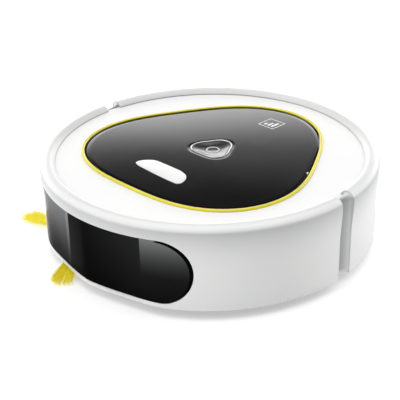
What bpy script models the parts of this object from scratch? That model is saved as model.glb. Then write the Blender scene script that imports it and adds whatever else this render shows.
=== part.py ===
"""Round robotic floor cleaner, modelled as the assembly it is.

Lengths below are in millimetres, angles in degrees from +X, and heights are
measured up from the floor the cleaner stands on. The finished model is in metres,
with its origin at the middle of the flat underside, so every height loses GROUND on
the way in. The front of the cleaner faces -Y, its left side +X, and +Z is up.
"""

import itertools
import math
from typing import NamedTuple

import bmesh
import bpy
from mathutils import Vector

MM = 0.001
GROUND = 9.5  # clearance between the floor and the underside
FRONT = 270.0  # direction of the front
BODY_SEGS = 48  # facets round the body
SIDES = (("left", 1), ("right", -1))

# ---------------------------------------------------------------- main dimensions
RIM_RADIUS = 170.0  # widest point of the rounded rim
WALL_RADIUS = 168.3  # upright outer wall
WALL_INNER = 165.3  # inner face of that wall
FOOT = 9.8  # bottom edge of bumper and rear shell
RIM_TOP = 96.0  # crest of the rim
LIP_RADIUS = 154.5  # inner edge of the rim, where it meets the deck
DECK_RADIUS = 159.0
DECK_TOP = 90.5
DECK_THICK = 2.5
SKIRT_INNER = 156.5
BASE_RADIUS = 159.3
BASE_THICK = 2.5

HINGE_Y, HINGE_Z = -119.0, 85.2
HINGE = (0, HINGE_Y, HINGE_Z)
BUTTON_Y = 5.0  # the button sits a little behind the middle
BUTTON_AXIS = (0, BUTTON_Y, 0)

WHEEL_X, WHEEL_RADIUS, WHEEL_WIDTH = 117.0, 35.0, 16.0
WHEEL_CENTRE = (0, 0, WHEEL_RADIUS)
ARM_X = 102
PIVOT_Y, PIVOT_Z = 43.5, 42.0  # pivot of the wheels' swing arms
PIVOT = (0, PIVOT_Y, PIVOT_Z)

CASTER_Y, CASTER_TRAIL, CASTER_RADIUS = -126.0, 6.0, 14.0
CASTER_AXIS = (0, CASTER_Y, 0)  # swivel axis
ROLLER_Y = CASTER_Y + CASTER_TRAIL
ROLLER = (0, ROLLER_Y, CASTER_RADIUS)
SOCKET_RADIUS = 23.0

BRUSH_Y, BRUSH_Z, BRUSH_RADIUS = 42.0, 19.0, 18.0
BRUSH = (0, BRUSH_Y, BRUSH_Z)
GEAR_TEETH, PINION_TEETH, TOOTH_MODULE = 12, 10, 1.3
GEAR_DISTANCE = TOOTH_MODULE * (GEAR_TEETH + PINION_TEETH) / 2
PINION_ANGLE = 20.0  # from the brush's axis to the pinion's, up from +Y
PINION_Y = BRUSH_Y + GEAR_DISTANCE * math.cos(math.radians(PINION_ANGLE))
PINION_Z = BRUSH_Z + GEAR_DISTANCE * math.sin(math.radians(PINION_ANGLE))
PINION = (0, PINION_Y, PINION_Z)

SIDE_BRUSH = (-80.0, -105.0)
SIDE_AXIS = (*SIDE_BRUSH, 0)
FAN = (0.0, 128.0)
FAN_AXIS = (*FAN, 0)

BUMPER_SPRING_X, BUMPER_SPRING_Z = 118, 50
BUMPER_SWITCH_X = 62
SWITCH_ANGLE, SWITCH_RADIUS, SWITCH_Z = 155.0, 164.5, 45.0  # power switch


# ---------------------------------------------------------------- finishes
class Finish(NamedTuple):
    colour: tuple
    roughness: float
    metallic: float = 0.0


WHITE = Finish(colour=(0.86, 0.86, 0.85), roughness=0.32)
BLACK_GLOSS = Finish(colour=(0.012, 0.012, 0.014), roughness=0.08)
SMOKE = Finish(colour=(0.10, 0.10, 0.11), roughness=0.12)
YELLOW = Finish(colour=(0.87, 0.77, 0.02), roughness=0.35)
SILVER = Finish(colour=(0.72, 0.72, 0.74), roughness=0.25, metallic=0.9)
DARK = Finish(colour=(0.04, 0.04, 0.045), roughness=0.5)
GREY = Finish(colour=(0.32, 0.33, 0.34), roughness=0.5)
LIGHT_GREY = Finish(colour=(0.75, 0.75, 0.74), roughness=0.5)
RUBBER = Finish(colour=(0.02, 0.02, 0.02), roughness=0.8)
STEEL = Finish(colour=(0.6, 0.6, 0.62), roughness=0.3, metallic=1.0)
BOARD = Finish(colour=(0.03, 0.20, 0.09), roughness=0.45)
CLEAR = Finish(colour=(0.30, 0.32, 0.34), roughness=0.15)
PAPER = Finish(colour=(0.83, 0.83, 0.80), roughness=0.9)
PALE = Finish(colour=(0.8, 0.8, 0.8), roughness=0.4)
BLUE = Finish(colour=(0.05, 0.10, 0.22), roughness=0.45)


def make_material(name, finish):
    material = bpy.data.materials.new(name)
    material.use_nodes = True
    inputs = material.node_tree.nodes["Principled BSDF"].inputs
    inputs["Base Color"].default_value = (*finish.colour, 1.0)
    inputs["Roughness"].default_value = finish.roughness
    inputs["Metallic"].default_value = finish.metallic
    material.diffuse_color = (*finish.colour, 1.0)
    return material


# ---------------------------------------------------------------- points and outlines
def polar(radius, angle, across=0.0, centre=(0.0, 0.0)):
    """Point at a radius and angle, moved square across the radius."""
    cos, sin = math.cos(math.radians(angle)), math.sin(math.radians(angle))
    return (
        centre[0] + radius * cos - across * sin,
        centre[1] + radius * sin + across * cos,
    )


def about(middle, half):
    return middle - half, middle + half


def mirrored(sign, low, high):
    """A range of x on the left (1) or right (-1) side."""
    return sorted((sign * low, sign * high))


def spread(start, end, size):
    """Angles from start to end, about size apart."""
    count = max(1, round((end - start) / size))
    return [start + (end - start) * i / count for i in range(count + 1)]


def circle(count=BODY_SEGS):
    return [360.0 * i / count for i in range(count)]


def arc(x, y, radius, start, end, count):
    return [
        polar(radius, start + (end - start) * i / count, centre=(x, y))
        for i in range(count + 1)
    ]


def rounded(x, y, radius, count=4):
    """Rounded rectangle over a range of x and of y."""
    left, right = x[0] + radius, x[1] - radius
    near, far = y[0] + radius, y[1] - radius
    return (
        arc(right, near, radius, -90, 0, count)
        + arc(right, far, radius, 0, 90, count)
        + arc(left, far, radius, 90, 180, count)
        + arc(left, near, radius, 180, 270, count)
    )


def band(inner, outer, low, high):
    """Rectangular section of a ring, as (radius, height) points."""
    return [(inner, low), (outer, low), (outer, high), (inner, high)]


def ribbon(path, half):
    """The outline of a bent strip that follows a path."""
    left, right = [], []
    for i, (x, y) in enumerate(path):
        before, after = path[max(0, i - 1)], path[min(len(path) - 1, i + 1)]
        along_x, along_y = after[0] - before[0], after[1] - before[1]
        length = math.hypot(along_x, along_y)
        shift_x, shift_y = -along_y / length * half, along_x / length * half
        left.append((x + shift_x, y + shift_y))
        right.append((x - shift_x, y - shift_y))
    return left + right[::-1]


# ---------------------------------------------------------------- solids
def join(shape, loops, closed=False):
    """Skin the gaps between neighbouring loops of vertices."""
    pairs = list(zip(loops, loops[1:]))
    if closed:
        pairs.append((loops[-1], loops[0]))
    for first, second in pairs:
        for i in range(len(first)):
            j = (i + 1) % len(first)
            shape.faces.new((first[i], first[j], second[j], second[i]))


def cap(shape, loops):
    shape.faces.new(loops[0])
    shape.faces.new(loops[-1][::-1])


def sweep(section, angles, closed=False, shape=None):
    """Carry an outline of (radius, height) points round the vertical axis."""
    shape = shape or bmesh.new()
    loops = [
        [shape.verts.new((*polar(radius, angle), z)) for radius, z in section(angle)]
        for angle in angles
    ]
    join(shape, loops, closed)
    if not closed:
        cap(shape, loops)
    return shape


def lathe(section, centre, axis="Z", segs=32, closed=False, bend=None):
    """Turn (radius, distance along the axis) points about an axis through centre.

    A bend function turns the circle into another outline: bend(angle, radius).
    """
    shape = bmesh.new()

    def vertex(radius, along, k):
        angle = 2 * math.pi * k / segs
        if bend:
            radius = bend(math.degrees(angle), radius)
        across, up = radius * math.cos(angle), radius * math.sin(angle)
        offset = (across, up, along) if axis == "Z" else (along, across, up)
        return shape.verts.new([c + d for c, d in zip(centre, offset)])

    rings = []
    for radius, along in section:
        count = 1 if radius == 0 else segs
        rings.append([vertex(radius, along, k) for k in range(count)])
    pairs = list(zip(rings, rings[1:]))
    if closed:
        pairs.append((rings[-1], rings[0]))
    for first, second in pairs:
        for k in range(segs):
            j = (k + 1) % segs
            if len(first) == 1:
                shape.faces.new((first[0], second[j], second[k]))
            elif len(second) == 1:
                shape.faces.new((first[k], first[j], second[0]))
            else:
                shape.faces.new((first[k], first[j], second[j], second[k]))
    if not closed:
        for ring in (rings[0], rings[-1]):
            if len(ring) > 1:
                shape.faces.new(ring)
    return shape


def rod(radius, low, high, centre, axis="Z", segs=12):
    return lathe([(radius, low), (radius, high)], centre, axis, segs)


def prism(outline, low, high, axis="Z"):
    """Stretch a flat outline along an axis; for X the outline is (y, z)."""
    shape = bmesh.new()

    def point(flat, along):
        return (*flat, along) if axis == "Z" else (along, *flat)

    face = shape.faces.new([shape.verts.new(point(flat, low)) for flat in outline])
    made = bmesh.ops.extrude_face_region(shape, geom=[face])["geom"]
    far = [item for item in made if isinstance(item, bmesh.types.BMVert)]
    bmesh.ops.translate(shape, verts=far, vec=Vector(point((0, 0), high - low)))
    return shape


def box(x, y, z):
    return prism([(x[0], y[0]), (x[1], y[0]), (x[1], y[1]), (x[0], y[1])], *z)


def radial_box(angle, radial, across, z):
    """A box lying square to the radius at an angle."""
    corners = band(*radial, *across)
    return prism([polar(radius, angle, side) for radius, side in corners], *z)


def coil(centre, axis, radius, wire, length, turns, per_turn=7, sides=3):
    """A spring: a faceted wire carried along a helix."""
    shape = bmesh.new()
    loops = []
    count = turns * per_turn
    for k in range(count + 1):
        part = k / count
        angle = 2 * math.pi * turns * part
        loop = []
        for j in range(sides):
            corner = 2 * math.pi * (j + 0.5) / sides
            reach = radius + wire * math.cos(corner)
            along = length * part + wire * math.sin(corner)
            across, up = reach * math.cos(angle), reach * math.sin(angle)
            offset = (across, up, along) if axis == "Z" else (across, along, up)
            loop.append(shape.verts.new([c + d for c, d in zip(centre, offset)]))
        loops.append(loop)
    join(shape, loops)
    cap(shape, loops)
    return shape


# ---------------------------------------------------------------- objects
# A point on the axis of each joint; moving pieces hang from an empty there.
JOINTS = {
    "bumper": (0, 0, 50),
    "lid": HINGE,
    "button": (0, BUTTON_Y, 92),
    "arm_left": (ARM_X, PIVOT_Y, PIVOT_Z),
    "wheel_left": (WHEEL_X, 0, WHEEL_RADIUS),
    "arm_right": (-ARM_X, PIVOT_Y, PIVOT_Z),
    "wheel_right": (-WHEEL_X, 0, WHEEL_RADIUS),
    "caster": (0, CASTER_Y, 30),
    "caster_roller": ROLLER,
    "main_brush": BRUSH,
    "pinion": (93, PINION_Y, PINION_Z),
    "side_brush": (*SIDE_BRUSH, 12),
    "impeller": (*FAN, 60),
    "switch": (*polar(SWITCH_RADIUS, SWITCH_ANGLE), SWITCH_Z),
}
tool_numbers = itertools.count(1)


def clear_scene():
    for old in list(bpy.data.objects):
        bpy.data.objects.remove(old, do_unlink=True)


def add_joints():
    for name, (x, y, z) in JOINTS.items():
        empty = bpy.data.objects.new("axis_" + name, None)
        empty.empty_display_size = 0.01
        empty.location = (x * MM, y * MM, (z - GROUND) * MM)
        bpy.context.scene.collection.objects.link(empty)


def add(name, shape, finish=None, joint=None, sharp=35.0, smooth=True):
    """Turn a bmesh in millimetres into an object; without a finish it is a tool."""
    x, y, z = JOINTS[joint] if joint else (0.0, 0.0, 0.0)
    bmesh.ops.translate(shape, verts=shape.verts, vec=(-x, -y, -z))
    bmesh.ops.scale(shape, verts=shape.verts, vec=(MM, MM, MM))
    bmesh.ops.recalc_face_normals(shape, faces=shape.faces)
    mesh = bpy.data.meshes.new(name)
    shape.to_mesh(mesh)
    shape.free()
    if smooth:
        mesh.shade_smooth()
        mesh.set_sharp_from_angle(angle=math.radians(sharp))
    piece = bpy.data.objects.new(name, mesh)
    bpy.context.scene.collection.objects.link(piece)
    if joint:
        piece.parent = bpy.data.objects["axis_" + joint]
    else:
        piece.location = (0, 0, -GROUND * MM)
    if finish is None:
        piece.hide_render = True
        piece.display_type = "WIRE"
    else:
        mesh.materials.append(make_material(name + "_finish", finish))
    return piece


def combine(piece, shape, operation, joint):
    tool = add(f"tool_{next(tool_numbers):02d}", shape, joint=joint)
    modifier = piece.modifiers.new(operation.lower() + "_" + tool.name, "BOOLEAN")
    modifier.operation = operation
    modifier.solver = "EXACT"
    modifier.object = tool


def cut(piece, shape, joint=None):
    combine(piece, shape, "DIFFERENCE", joint)


def fuse(piece, shape, joint=None):
    combine(piece, shape, "UNION", joint)


# ---------------------------------------------------------------- outer shell
SLOT_HALF = 6.1  # degrees between the bumper's end and the rear shell's end
SHELL_STEP = 7.5  # degrees between stations round the shells

# Wall, rounded rim and inner lip as one outline of (radius, height).
SHELL_PROFILE = [
    # outside, from the foot up and over to the lip
    (WALL_RADIUS - 0.7, FOOT),
    (WALL_RADIUS, FOOT + 1.2),
    (WALL_RADIUS, 40.0),
    (WALL_RADIUS, 73.0),
    (RIM_RADIUS - 0.3, 79.0),
    (RIM_RADIUS, 83.0),
    (RIM_RADIUS - 1.6, 90.0),
    (RIM_RADIUS - 5.4, 94.6),
    (RIM_RADIUS - 8.6, RIM_TOP),
    (RIM_RADIUS - 11.0, 95.4),
    (LIP_RADIUS, 91.5),
    (LIP_RADIUS, 90.9),
    # inside, back down the wall
    (DECK_RADIUS + 0.2, 90.9),
    (161.0, 92.8),
    (164.2, 91.0),
    (166.6, 84.0),
    (WALL_INNER, 76.0),
    (WALL_INNER, 40.0),
]
BUMPER_PROFILE = SHELL_PROFILE + [(WALL_INNER, FOOT)]
REAR_PROFILE = SHELL_PROFILE + [(WALL_INNER, 12.2), (159.9, 12.2), (159.9, FOOT)]

FLAT_DEPTH, FLAT_EXTRA = 2.0, 2.2  # at the middle of the front, and added further out
FLAT_DEEPEST, FLAT_END = 14.0, 32  # degrees from the front
FLAT_LOW, FLAT_HIGH = 20.0, 80.0  # heights between which the flats fade out

WINDOW_LOW, WINDOW_HIGH = 15.7, 79.0
WINDOW_MID = (WINDOW_LOW + WINDOW_HIGH) / 2
WINDOW_HALF_HEIGHT = (WINDOW_HIGH - WINDOW_LOW) / 2
WINDOW_HALF_ANGLE = 39.4


def inset(angle, z):
    """How far the lower front is drawn in from the round: two soft flats."""
    off = abs((angle - FRONT + 180) % 360 - 180)
    if off > FLAT_END:
        return 0.0
    if off > FLAT_DEEPEST:
        ease = math.cos(math.pi * (off - FLAT_DEEPEST) / (FLAT_END - FLAT_DEEPEST))
        depth = (FLAT_DEPTH + FLAT_EXTRA) * (0.5 + 0.5 * ease)
    else:
        depth = FLAT_DEPTH + FLAT_EXTRA * math.sin(math.pi * off / (2 * FLAT_DEEPEST))
    fade = min(1.0, max(0.0, (FLAT_HIGH - z) / (FLAT_HIGH - FLAT_LOW)))
    return depth * fade * fade * (3 - 2 * fade)


def window_edges(angle, margin=0.0):
    """Lower and upper edge of the window, which ends in half circles."""
    along = abs(math.radians(angle - FRONT)) * WALL_RADIUS
    straight = math.radians(WINDOW_HALF_ANGLE) * WALL_RADIUS - WINDOW_HALF_HEIGHT
    over = max(0.0, along - straight)
    half = math.sqrt(max(0.0, WINDOW_HALF_HEIGHT**2 - over * over)) + margin
    return about(WINDOW_MID, max(half, 0.4))


def window_angles():
    """Close together at the round ends, wide apart between them."""
    end_angle = math.degrees(WINDOW_HALF_HEIGHT / WALL_RADIUS)
    ends = [
        WINDOW_HALF_ANGLE - end_angle * (1 - math.sin(math.radians(turn)))
        for turn in (90, 67, 45, 22, 0)
    ]
    middle = [SHELL_STEP * k for k in range(-3, 4)]
    return sorted(FRONT + off for off in ends + [-end for end in ends] + middle)


def build_bumper():
    def section(angle):
        return [(radius - inset(angle, z), z) for radius, z in BUMPER_PROFILE]

    shape = sweep(section, spread(180, 360, SHELL_STEP))
    bumper = add("bumper_shell", shape, WHITE, "bumper", sharp=50)
    cut(bumper, sweep(lambda angle: band(158, 174, *window_edges(angle)), window_angles()))
    for _, sign in SIDES:
        # pad in front of the bumper spring
        pad_x = mirrored(sign, *about(BUMPER_SPRING_X, 5))
        fuse(bumper, box(pad_x, (-112, -106.5), about(BUMPER_SPRING_Z, 6)))


def build_lens():
    overlap, outer_gap, inner_gap, rows = 3.0, 0.8, 2.6, 3

    def section(angle):
        low, high = window_edges(angle, overlap)
        heights = [low + (high - low) * k / rows for k in range(rows + 1)]
        front = [(WALL_INNER - outer_gap - inset(angle, z), z) for z in heights]
        back = [(WALL_INNER - inner_gap - inset(angle, z), z) for z in heights[::-1]]
        return front + back

    add("window_lens", sweep(section, window_angles()), BLACK_GLOSS, "bumper", sharp=60)


def build_rear_shell():
    angles = spread(SLOT_HALF, 180 - SLOT_HALF, SHELL_STEP)
    rear = add("rear_shell", sweep(lambda angle: REAR_PROFILE, angles), WHITE, sharp=50)
    # the shell runs on at a smaller radius behind the open slots beside the bumper
    inner_wall = [
        (160.2, FOOT), (163.6, FOOT), (163.6, 86.0), (162.6, 88.4), (160.2, 88.4)
    ]
    for start, end in ((-0.4, 7.0), (173.0, 180.4)):
        fuse(rear, sweep(lambda angle: inner_wall, spread(start, end, 3.7)))
    for angle in (6.6, 173.4):
        # web between that inner wall and the outer one
        fuse(rear, radial_box(angle, (160.4, 168.0), about(0, 0.9), (9.9, 90.0)))

    slot_pitch, slot_half_width = 3.2, 0.5  # degrees
    slots = bmesh.new()
    for k in range(-4, 5):
        slot = about(90 + k * slot_pitch, slot_half_width)
        sweep(lambda angle: band(150, 176, 42, 62), slot, shape=slots)
    cut(rear, slots)
    opening_z = about(SWITCH_Z, 9.2)
    cut(rear, radial_box(SWITCH_ANGLE, (150, 176), about(0, 5.8), opening_z))


# ---------------------------------------------------------------- deck and trim ring
RING_RADIUS, RING_WAVE, RING_WIDTH = 121.0, 10.65, 4.0


def triangle(angle, mean, wave):
    """Rounded triangle: corners at the rear, front left and front right."""
    return mean + wave * math.cos(3 * math.radians(angle - 90))


def ring_radius(angle):
    return triangle(angle, RING_RADIUS, RING_WAVE)


def build_deck():
    under = DECK_TOP - DECK_THICK

    def section(angle):
        from_left = abs((angle + 180) % 360 - 180)
        from_right = abs(angle % 360 - 180)
        # the skirt reaches down behind the open slots beside the bumper
        low = 20.0 if min(from_left, from_right) < 16 else 82.0
        inner = ring_radius(angle) - 1.0
        return [
            (inner, DECK_TOP),
            ((inner + DECK_RADIUS) / 2, DECK_TOP),
            (DECK_RADIUS, DECK_TOP),
            (DECK_RADIUS, low),
            (SKIRT_INNER, low),
            (SKIRT_INNER, under),
            (inner, under),
        ]

    deck = add("top_deck", sweep(section, circle(), closed=True), WHITE)
    # lugs under the deck that carry the lid's hinge pin
    lug = [
        (HINGE_Y - 2.4, 89.0),
        (HINGE_Y - 2.4, HINGE_Z - 1.2),
        (HINGE_Y - 1.2, HINGE_Z - 2.4),
        (HINGE_Y + 1.2, HINGE_Z - 2.4),
        (HINGE_Y + 2.4, HINGE_Z - 1.2),
        (HINGE_Y + 2.4, 89.0),
    ]
    for _, sign in SIDES:
        fuse(deck, prism(lug, *mirrored(sign, 25.0, 29.0), axis="X"))
    cut(deck, rod(1.4, -35, 35, HINGE, "X"))


def build_trim_ring():
    def section(angle):
        outer = ring_radius(angle)
        inner = outer - RING_WIDTH
        return [
            (outer, 90.8),
            (outer - 0.6, 92.7),
            (inner + 0.7, 92.8),
            (inner, 91.6),
            (inner + 1.4, 90.8),
        ]

    add("trim_ring", sweep(section, circle(60), closed=True), YELLOW, sharp=50)


# ---------------------------------------------------------------- lid
LID_GAP = 1.0
LID_DOME = 1.7
LID_EDGE_Z = 91.3
LID_UNDER = 89.3

BUTTON_RADIUS, BUTTON_WAVE = 21.5, 2.7
BUTTON_INSET = 2.05  # from the button's outline to the side of its cap

# Half of the badge's outline as (x, y), from its rear edge to its front edge.
BADGE_HALF = [
    (16.0, -52.5), (24.0, -54.6), (29.0, -59.5), (32.4, -66.0),
    (33.0, -70.0), (31.0, -73.4), (27.0, -74.6),
]
BADGE = BADGE_HALF + [(-x, y) for x, y in reversed(BADGE_HALF)]
BADGE_Y = -63.5  # line the recess is scaled about

# Centreline of the lid's swan-neck arms as (y, z) from the hinge. They pass under
# the deck's edge and swing up through the opening.
NECK = [
    (0.0, -1.0), (2.0, -11.0), (5.0, -15.0), (11.6, -14.2),
    (17.0, -9.0), (20.5, -2.0), (25.0, 2.2),
]


def lid_radius(angle):
    return ring_radius(angle) - RING_WIDTH - LID_GAP


def button_radius(angle):
    return triangle(angle, BUTTON_RADIUS, BUTTON_WAVE)


def button_edge(angle, grow):
    """The button's outline, moved outwards, as seen from the lid's own middle."""
    radius = BUTTON_RADIUS
    for _ in range(12):
        x, y = polar(radius, angle)
        y -= BUTTON_Y
        wanted = button_radius(math.degrees(math.atan2(y, x))) + grow
        radius += (wanted - math.hypot(x, y)) * 0.9
    return radius


def build_lid_panel():
    def section(angle):
        edge, hole = lid_radius(angle), button_edge(angle, 0.35)
        rim = edge - 0.8
        top = [rim + (hole - rim) * k / 3 for k in range(4)]
        return [
            (hole, LID_UNDER),
            (edge - 1.0, LID_UNDER),
            (edge, LID_UNDER + 1.0),
            (edge, LID_EDGE_Z - 0.5),
        ] + [(radius, LID_EDGE_Z + LID_DOME * (1 - (radius / edge) ** 2)) for radius in top]

    shape = sweep(section, circle(), closed=True)
    lid = add("lid_panel", shape, BLACK_GLOSS, "lid", sharp=40)
    recess = [(x * 1.012, BADGE_Y + (y - BADGE_Y) * 1.035) for x, y in BADGE]
    cut(lid, prism(recess, 91.6, 96.0))
    add("badge_plate", prism(BADGE, 91.9, 92.9), SILVER, "lid", smooth=False)


def build_lid_frame():
    def section(angle):
        edge = lid_radius(angle)
        return band(edge - 16, edge - 8, 86.2, 89.0)

    frame = add("lid_frame", sweep(section, circle(36), closed=True), DARK, "lid")
    # ring round the button, and spokes out to the frame
    fuse(frame, lathe(band(26.5, 30.5, 86.4, 88.8), BUTTON_AXIS, segs=24, closed=True))
    for angle in (30, 150, 270):
        reach = (29, lid_radius(angle) - 12)
        fuse(frame, radial_box(angle, reach, (-3, 3), (86.6, 88.6)))
    neck = [(HINGE_Y + y, HINGE_Z + z) for y, z in NECK]
    for _, sign in SIDES:
        span = mirrored(sign, 18.0, 23.5)
        fuse(frame, prism(ribbon(neck, 1.4), *span, axis="X"))
        fuse(frame, rod(2.4, *span, HINGE, "X", 14))
    cut(frame, rod(1.45, -24.5, 24.5, HINGE, "X"))
    add("lid_hinge_pin", rod(1.1, -29.5, 29.5, HINGE, "X"), STEEL)


def build_button_bezel():
    def section(angle):
        inner, outer = button_edge(angle, -1.7), button_edge(angle, 0)
        crest = button_edge(angle, -0.8)
        return [(inner, 89.2), (outer, 89.2), (outer, 93.4), (crest, 93.9), (inner, 93.4)]

    shape = sweep(section, circle(36), closed=True)
    add("button_bezel", shape, SILVER, "lid", sharp=50)


def build_button():
    side = BUTTON_RADIUS - BUTTON_INSET

    def bend(angle, radius):
        return radius * (button_radius(angle) - BUTTON_INSET) / side

    # (radius, height): dished top, then down the side
    section = [(0, 91.9), (10.0, 92.2), (19.0, 93.2), (side, 92.8), (side, 88.6), (0, 88.6)]
    shape = lathe(section, BUTTON_AXIS, segs=36, bend=bend)
    button = add("power_button", shape, SMOKE, "button", sharp=50)
    cut(button, lathe(band(5.3, 7.3, 90.4, 95), BUTTON_AXIS, segs=20, closed=True))
    ring = lathe(band(5.7, 6.9, 90.8, 92.2), BUTTON_AXIS, segs=20, closed=True)
    add("button_light_ring", ring, PALE, "button")
    board = add("button_board", rod(28, 84.5, 85.9, BUTTON_AXIS, segs=24), BOARD, "lid")
    fuse(board, rod(3, 85.0, 87.3, BUTTON_AXIS))


# ---------------------------------------------------------------- chassis
FLOOR_CUT = (5, 20)  # heights of a cutter that goes through the base
POST_FOOT = 11  # height at which posts start, inside the base
BATTERY_Y = -46


def battery_outline(grow, corner):
    """The battery door's outline, grown all round."""
    return rounded(about(0, 64 + grow), about(BATTERY_Y, 33 + grow), corner)


def contact_outline(sign, grow=0.0):
    x = mirrored(sign, *about(40, 7 + grow))
    return rounded(x, about(-112, 4 + grow), 2.7 + grow, 3)


def build_base():
    def edge(angle):
        return BASE_RADIUS - inset(angle, 12.0)

    outline = [polar(edge(angle), angle) for angle in circle()]
    base = add("chassis_base", prism(outline, GROUND, GROUND + BASE_THICK), DARK)

    def rim(angle):
        return band(edge(angle) - 4.0, edge(angle) - 1.8, 11.0, 19.0)

    fuse(base, sweep(rim, circle(), closed=True))
    # cup over the side brush
    fuse(base, rod(20.0, 10.5, 19.0, SIDE_AXIS, segs=28))
    cut(base, lathe([(18.0, 5.0), (18.0, 15.5), (16.5, 17.0)], SIDE_AXIS, segs=28))
    cut(base, rod(4.0, 14, 22, SIDE_AXIS, segs=16))
    for _, sign in SIDES:
        # openings for the wheel and its motor
        cut(base, prism(rounded(mirrored(sign, 97, 132), (-40, 38.5), 6, 3), 5, 25))
        cut(base, box(mirrored(sign, 67, 98), (-19, 19), (5, 25)))
        # posts for the bumper spring, the bumper switch and the arm's pivot
        spring_x = mirrored(sign, *about(BUMPER_SPRING_X, 4))
        fuse(base, box(spring_x, (-95.4, -91.4), (POST_FOOT, 57)))
        switch_x = mirrored(sign, *about(BUMPER_SWITCH_X, 4.5))
        fuse(base, box(switch_x, (-137, -129), (POST_FOOT, 45.7)))
        fuse(base, box(mirrored(sign, 107, 111.5), (39.6, 47.2), (POST_FOOT, 50)))
    cut(base, rod(2.6, -114, 114, PIVOT, "X"))
    # openings for the main brush, its gear, the battery and the caster
    cut(base, prism(rounded((-88, 88), about(BRUSH_Y, 20), 4, 2), *FLOOR_CUT))
    cut(base, box((86, 97.5), about(BRUSH_Y, 12), FLOOR_CUT))
    cut(base, prism(battery_outline(0.4, 4), *FLOOR_CUT))
    cut(base, rod(SOCKET_RADIUS + 0.4, *FLOOR_CUT, CASTER_AXIS, segs=28))
    # recess for the rating plate, and openings for the charging contacts
    cut(base, box((-18.3, 18.3), (-9.3, 9.3), (5, 10.6)))
    for _, sign in SIDES:
        cut(base, prism(contact_outline(sign, 0.3), *FLOOR_CUT))


def build_underside_fittings():
    add("rating_plate", box((-18, 18), (-9, 9), (9.5, 10.3)), STEEL, smooth=False)
    for side, sign in SIDES:
        add("charging_contact_" + side, prism(contact_outline(sign), 9.0, 13.5), STEEL)


# ---------------------------------------------------------------- drive wheels
WHEEL_INSIDE, WHEEL_OUTSIDE = about(WHEEL_X, WHEEL_WIDTH / 2)

# Sections of the left side's parts as (radius, x).
HUB_SECTION = [
    (3.4, WHEEL_INSIDE + 1),
    (26.6, WHEEL_INSIDE + 1),
    (26.6, WHEEL_OUTSIDE - 1),
    (22.0, WHEEL_OUTSIDE - 1),
    (20.0, WHEEL_OUTSIDE - 4),
    (3.4, WHEEL_OUTSIDE - 4),
]
TYRE_SECTION = [
    (27.4, WHEEL_INSIDE),
    (33.0, WHEEL_INSIDE),
    (WHEEL_RADIUS, WHEEL_INSIDE + 2),
    (WHEEL_RADIUS, WHEEL_OUTSIDE - 2),
    (33.0, WHEEL_OUTSIDE),
    (27.4, WHEEL_OUTSIDE),
]
WHEEL_MOTOR_SECTION = [(12.0, 70), (14.5, 72), (14.5, 90), (15.5, 91), (15.5, 98.1)]


def flipped(section, sign):
    return [(radius, sign * x) for radius, x in section]


def build_wheel_arm(side, sign):
    joint = "arm_" + side
    lean = math.degrees(math.atan2(PIVOT_Z - WHEEL_RADIUS, PIVOT_Y))
    wheel_end = arc(0, WHEEL_RADIUS, 9, lean + 90, lean + 270, 6)
    pivot_end = arc(PIVOT_Y, PIVOT_Z, 6.5, lean - 90, lean + 90, 6)
    shape = prism(wheel_end + pivot_end, *mirrored(sign, 99.0, 105.6), axis="X")
    arm = add("wheel_arm_" + side, shape, GREY, joint)
    # stub axle and pivot pin
    fuse(arm, rod(3, *mirrored(sign, 104, 126.5), WHEEL_CENTRE, "X"), joint)
    fuse(arm, rod(2.2, *mirrored(sign, 104, 111.2), PIVOT, "X"), joint)


def build_drive_wheel(side, sign):
    hub = lathe(flipped(HUB_SECTION, sign), WHEEL_CENTRE, "X", 24, closed=True)
    add("wheel_hub_" + side, hub, GREY, "wheel_" + side)
    tyre = lathe(flipped(TYRE_SECTION, sign), WHEEL_CENTRE, "X", 32, closed=True)
    add("wheel_tyre_" + side, tyre, RUBBER, "wheel_" + side)
    motor_centre = (0, 0, WHEEL_RADIUS + 1)
    motor = lathe(flipped(WHEEL_MOTOR_SECTION, sign), motor_centre, "X", 20)
    add("wheel_motor_" + side, motor, STEEL, "arm_" + side)
    spring = coil(
        (sign * 102.6, 0, 46.5), axis="Z", radius=3.3, wire=0.8, length=34.0, turns=5
    )
    add("wheel_spring_" + side, spring, STEEL)


# ---------------------------------------------------------------- caster
# Sections as (radius, height).
SOCKET_SECTION = [
    (SOCKET_RADIUS, 9.7), (SOCKET_RADIUS, 38.0), (8.0, 38.0), (8.0, 44.0),
    (4.4, 44.0), (4.4, 36.0), (20.6, 36.0), (20.6, 9.7),
]
FORK_SECTION = [(18.8, 9.9), (20.0, 11.2), (20.0, 33.5), (4.0, 34.5), (4.0, 47.0)]
# Section as (radius, x).
ROLLER_SECTION = [
    (2.0, -6.5), (11.5, -6.5), (CASTER_RADIUS, -4.5),
    (CASTER_RADIUS, 4.5), (11.5, 6.5), (2.0, 6.5),
]


def build_caster():
    socket = lathe(SOCKET_SECTION, CASTER_AXIS, segs=28, closed=True)
    add("caster_socket", socket, GREY)
    fork = add("caster_fork", lathe(FORK_SECTION, CASTER_AXIS, segs=28), DARK, "caster")
    well = rounded((-7.5, 7.5), (ROLLER_Y - 15.5, ROLLER_Y + 18.0), 2, 2)
    cut(fork, prism(well, 2, 29.5), "caster")
    cut(fork, rod(1.9, -30, 30, ROLLER, "X"), "caster")
    roller = lathe(ROLLER_SECTION, ROLLER, "X", 24, closed=True)
    add("caster_wheel", roller, LIGHT_GREY, "caster_roller")
    add("caster_axle", rod(1.5, -17.0, 17.0, ROLLER, "X"), STEEL, "caster")


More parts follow.
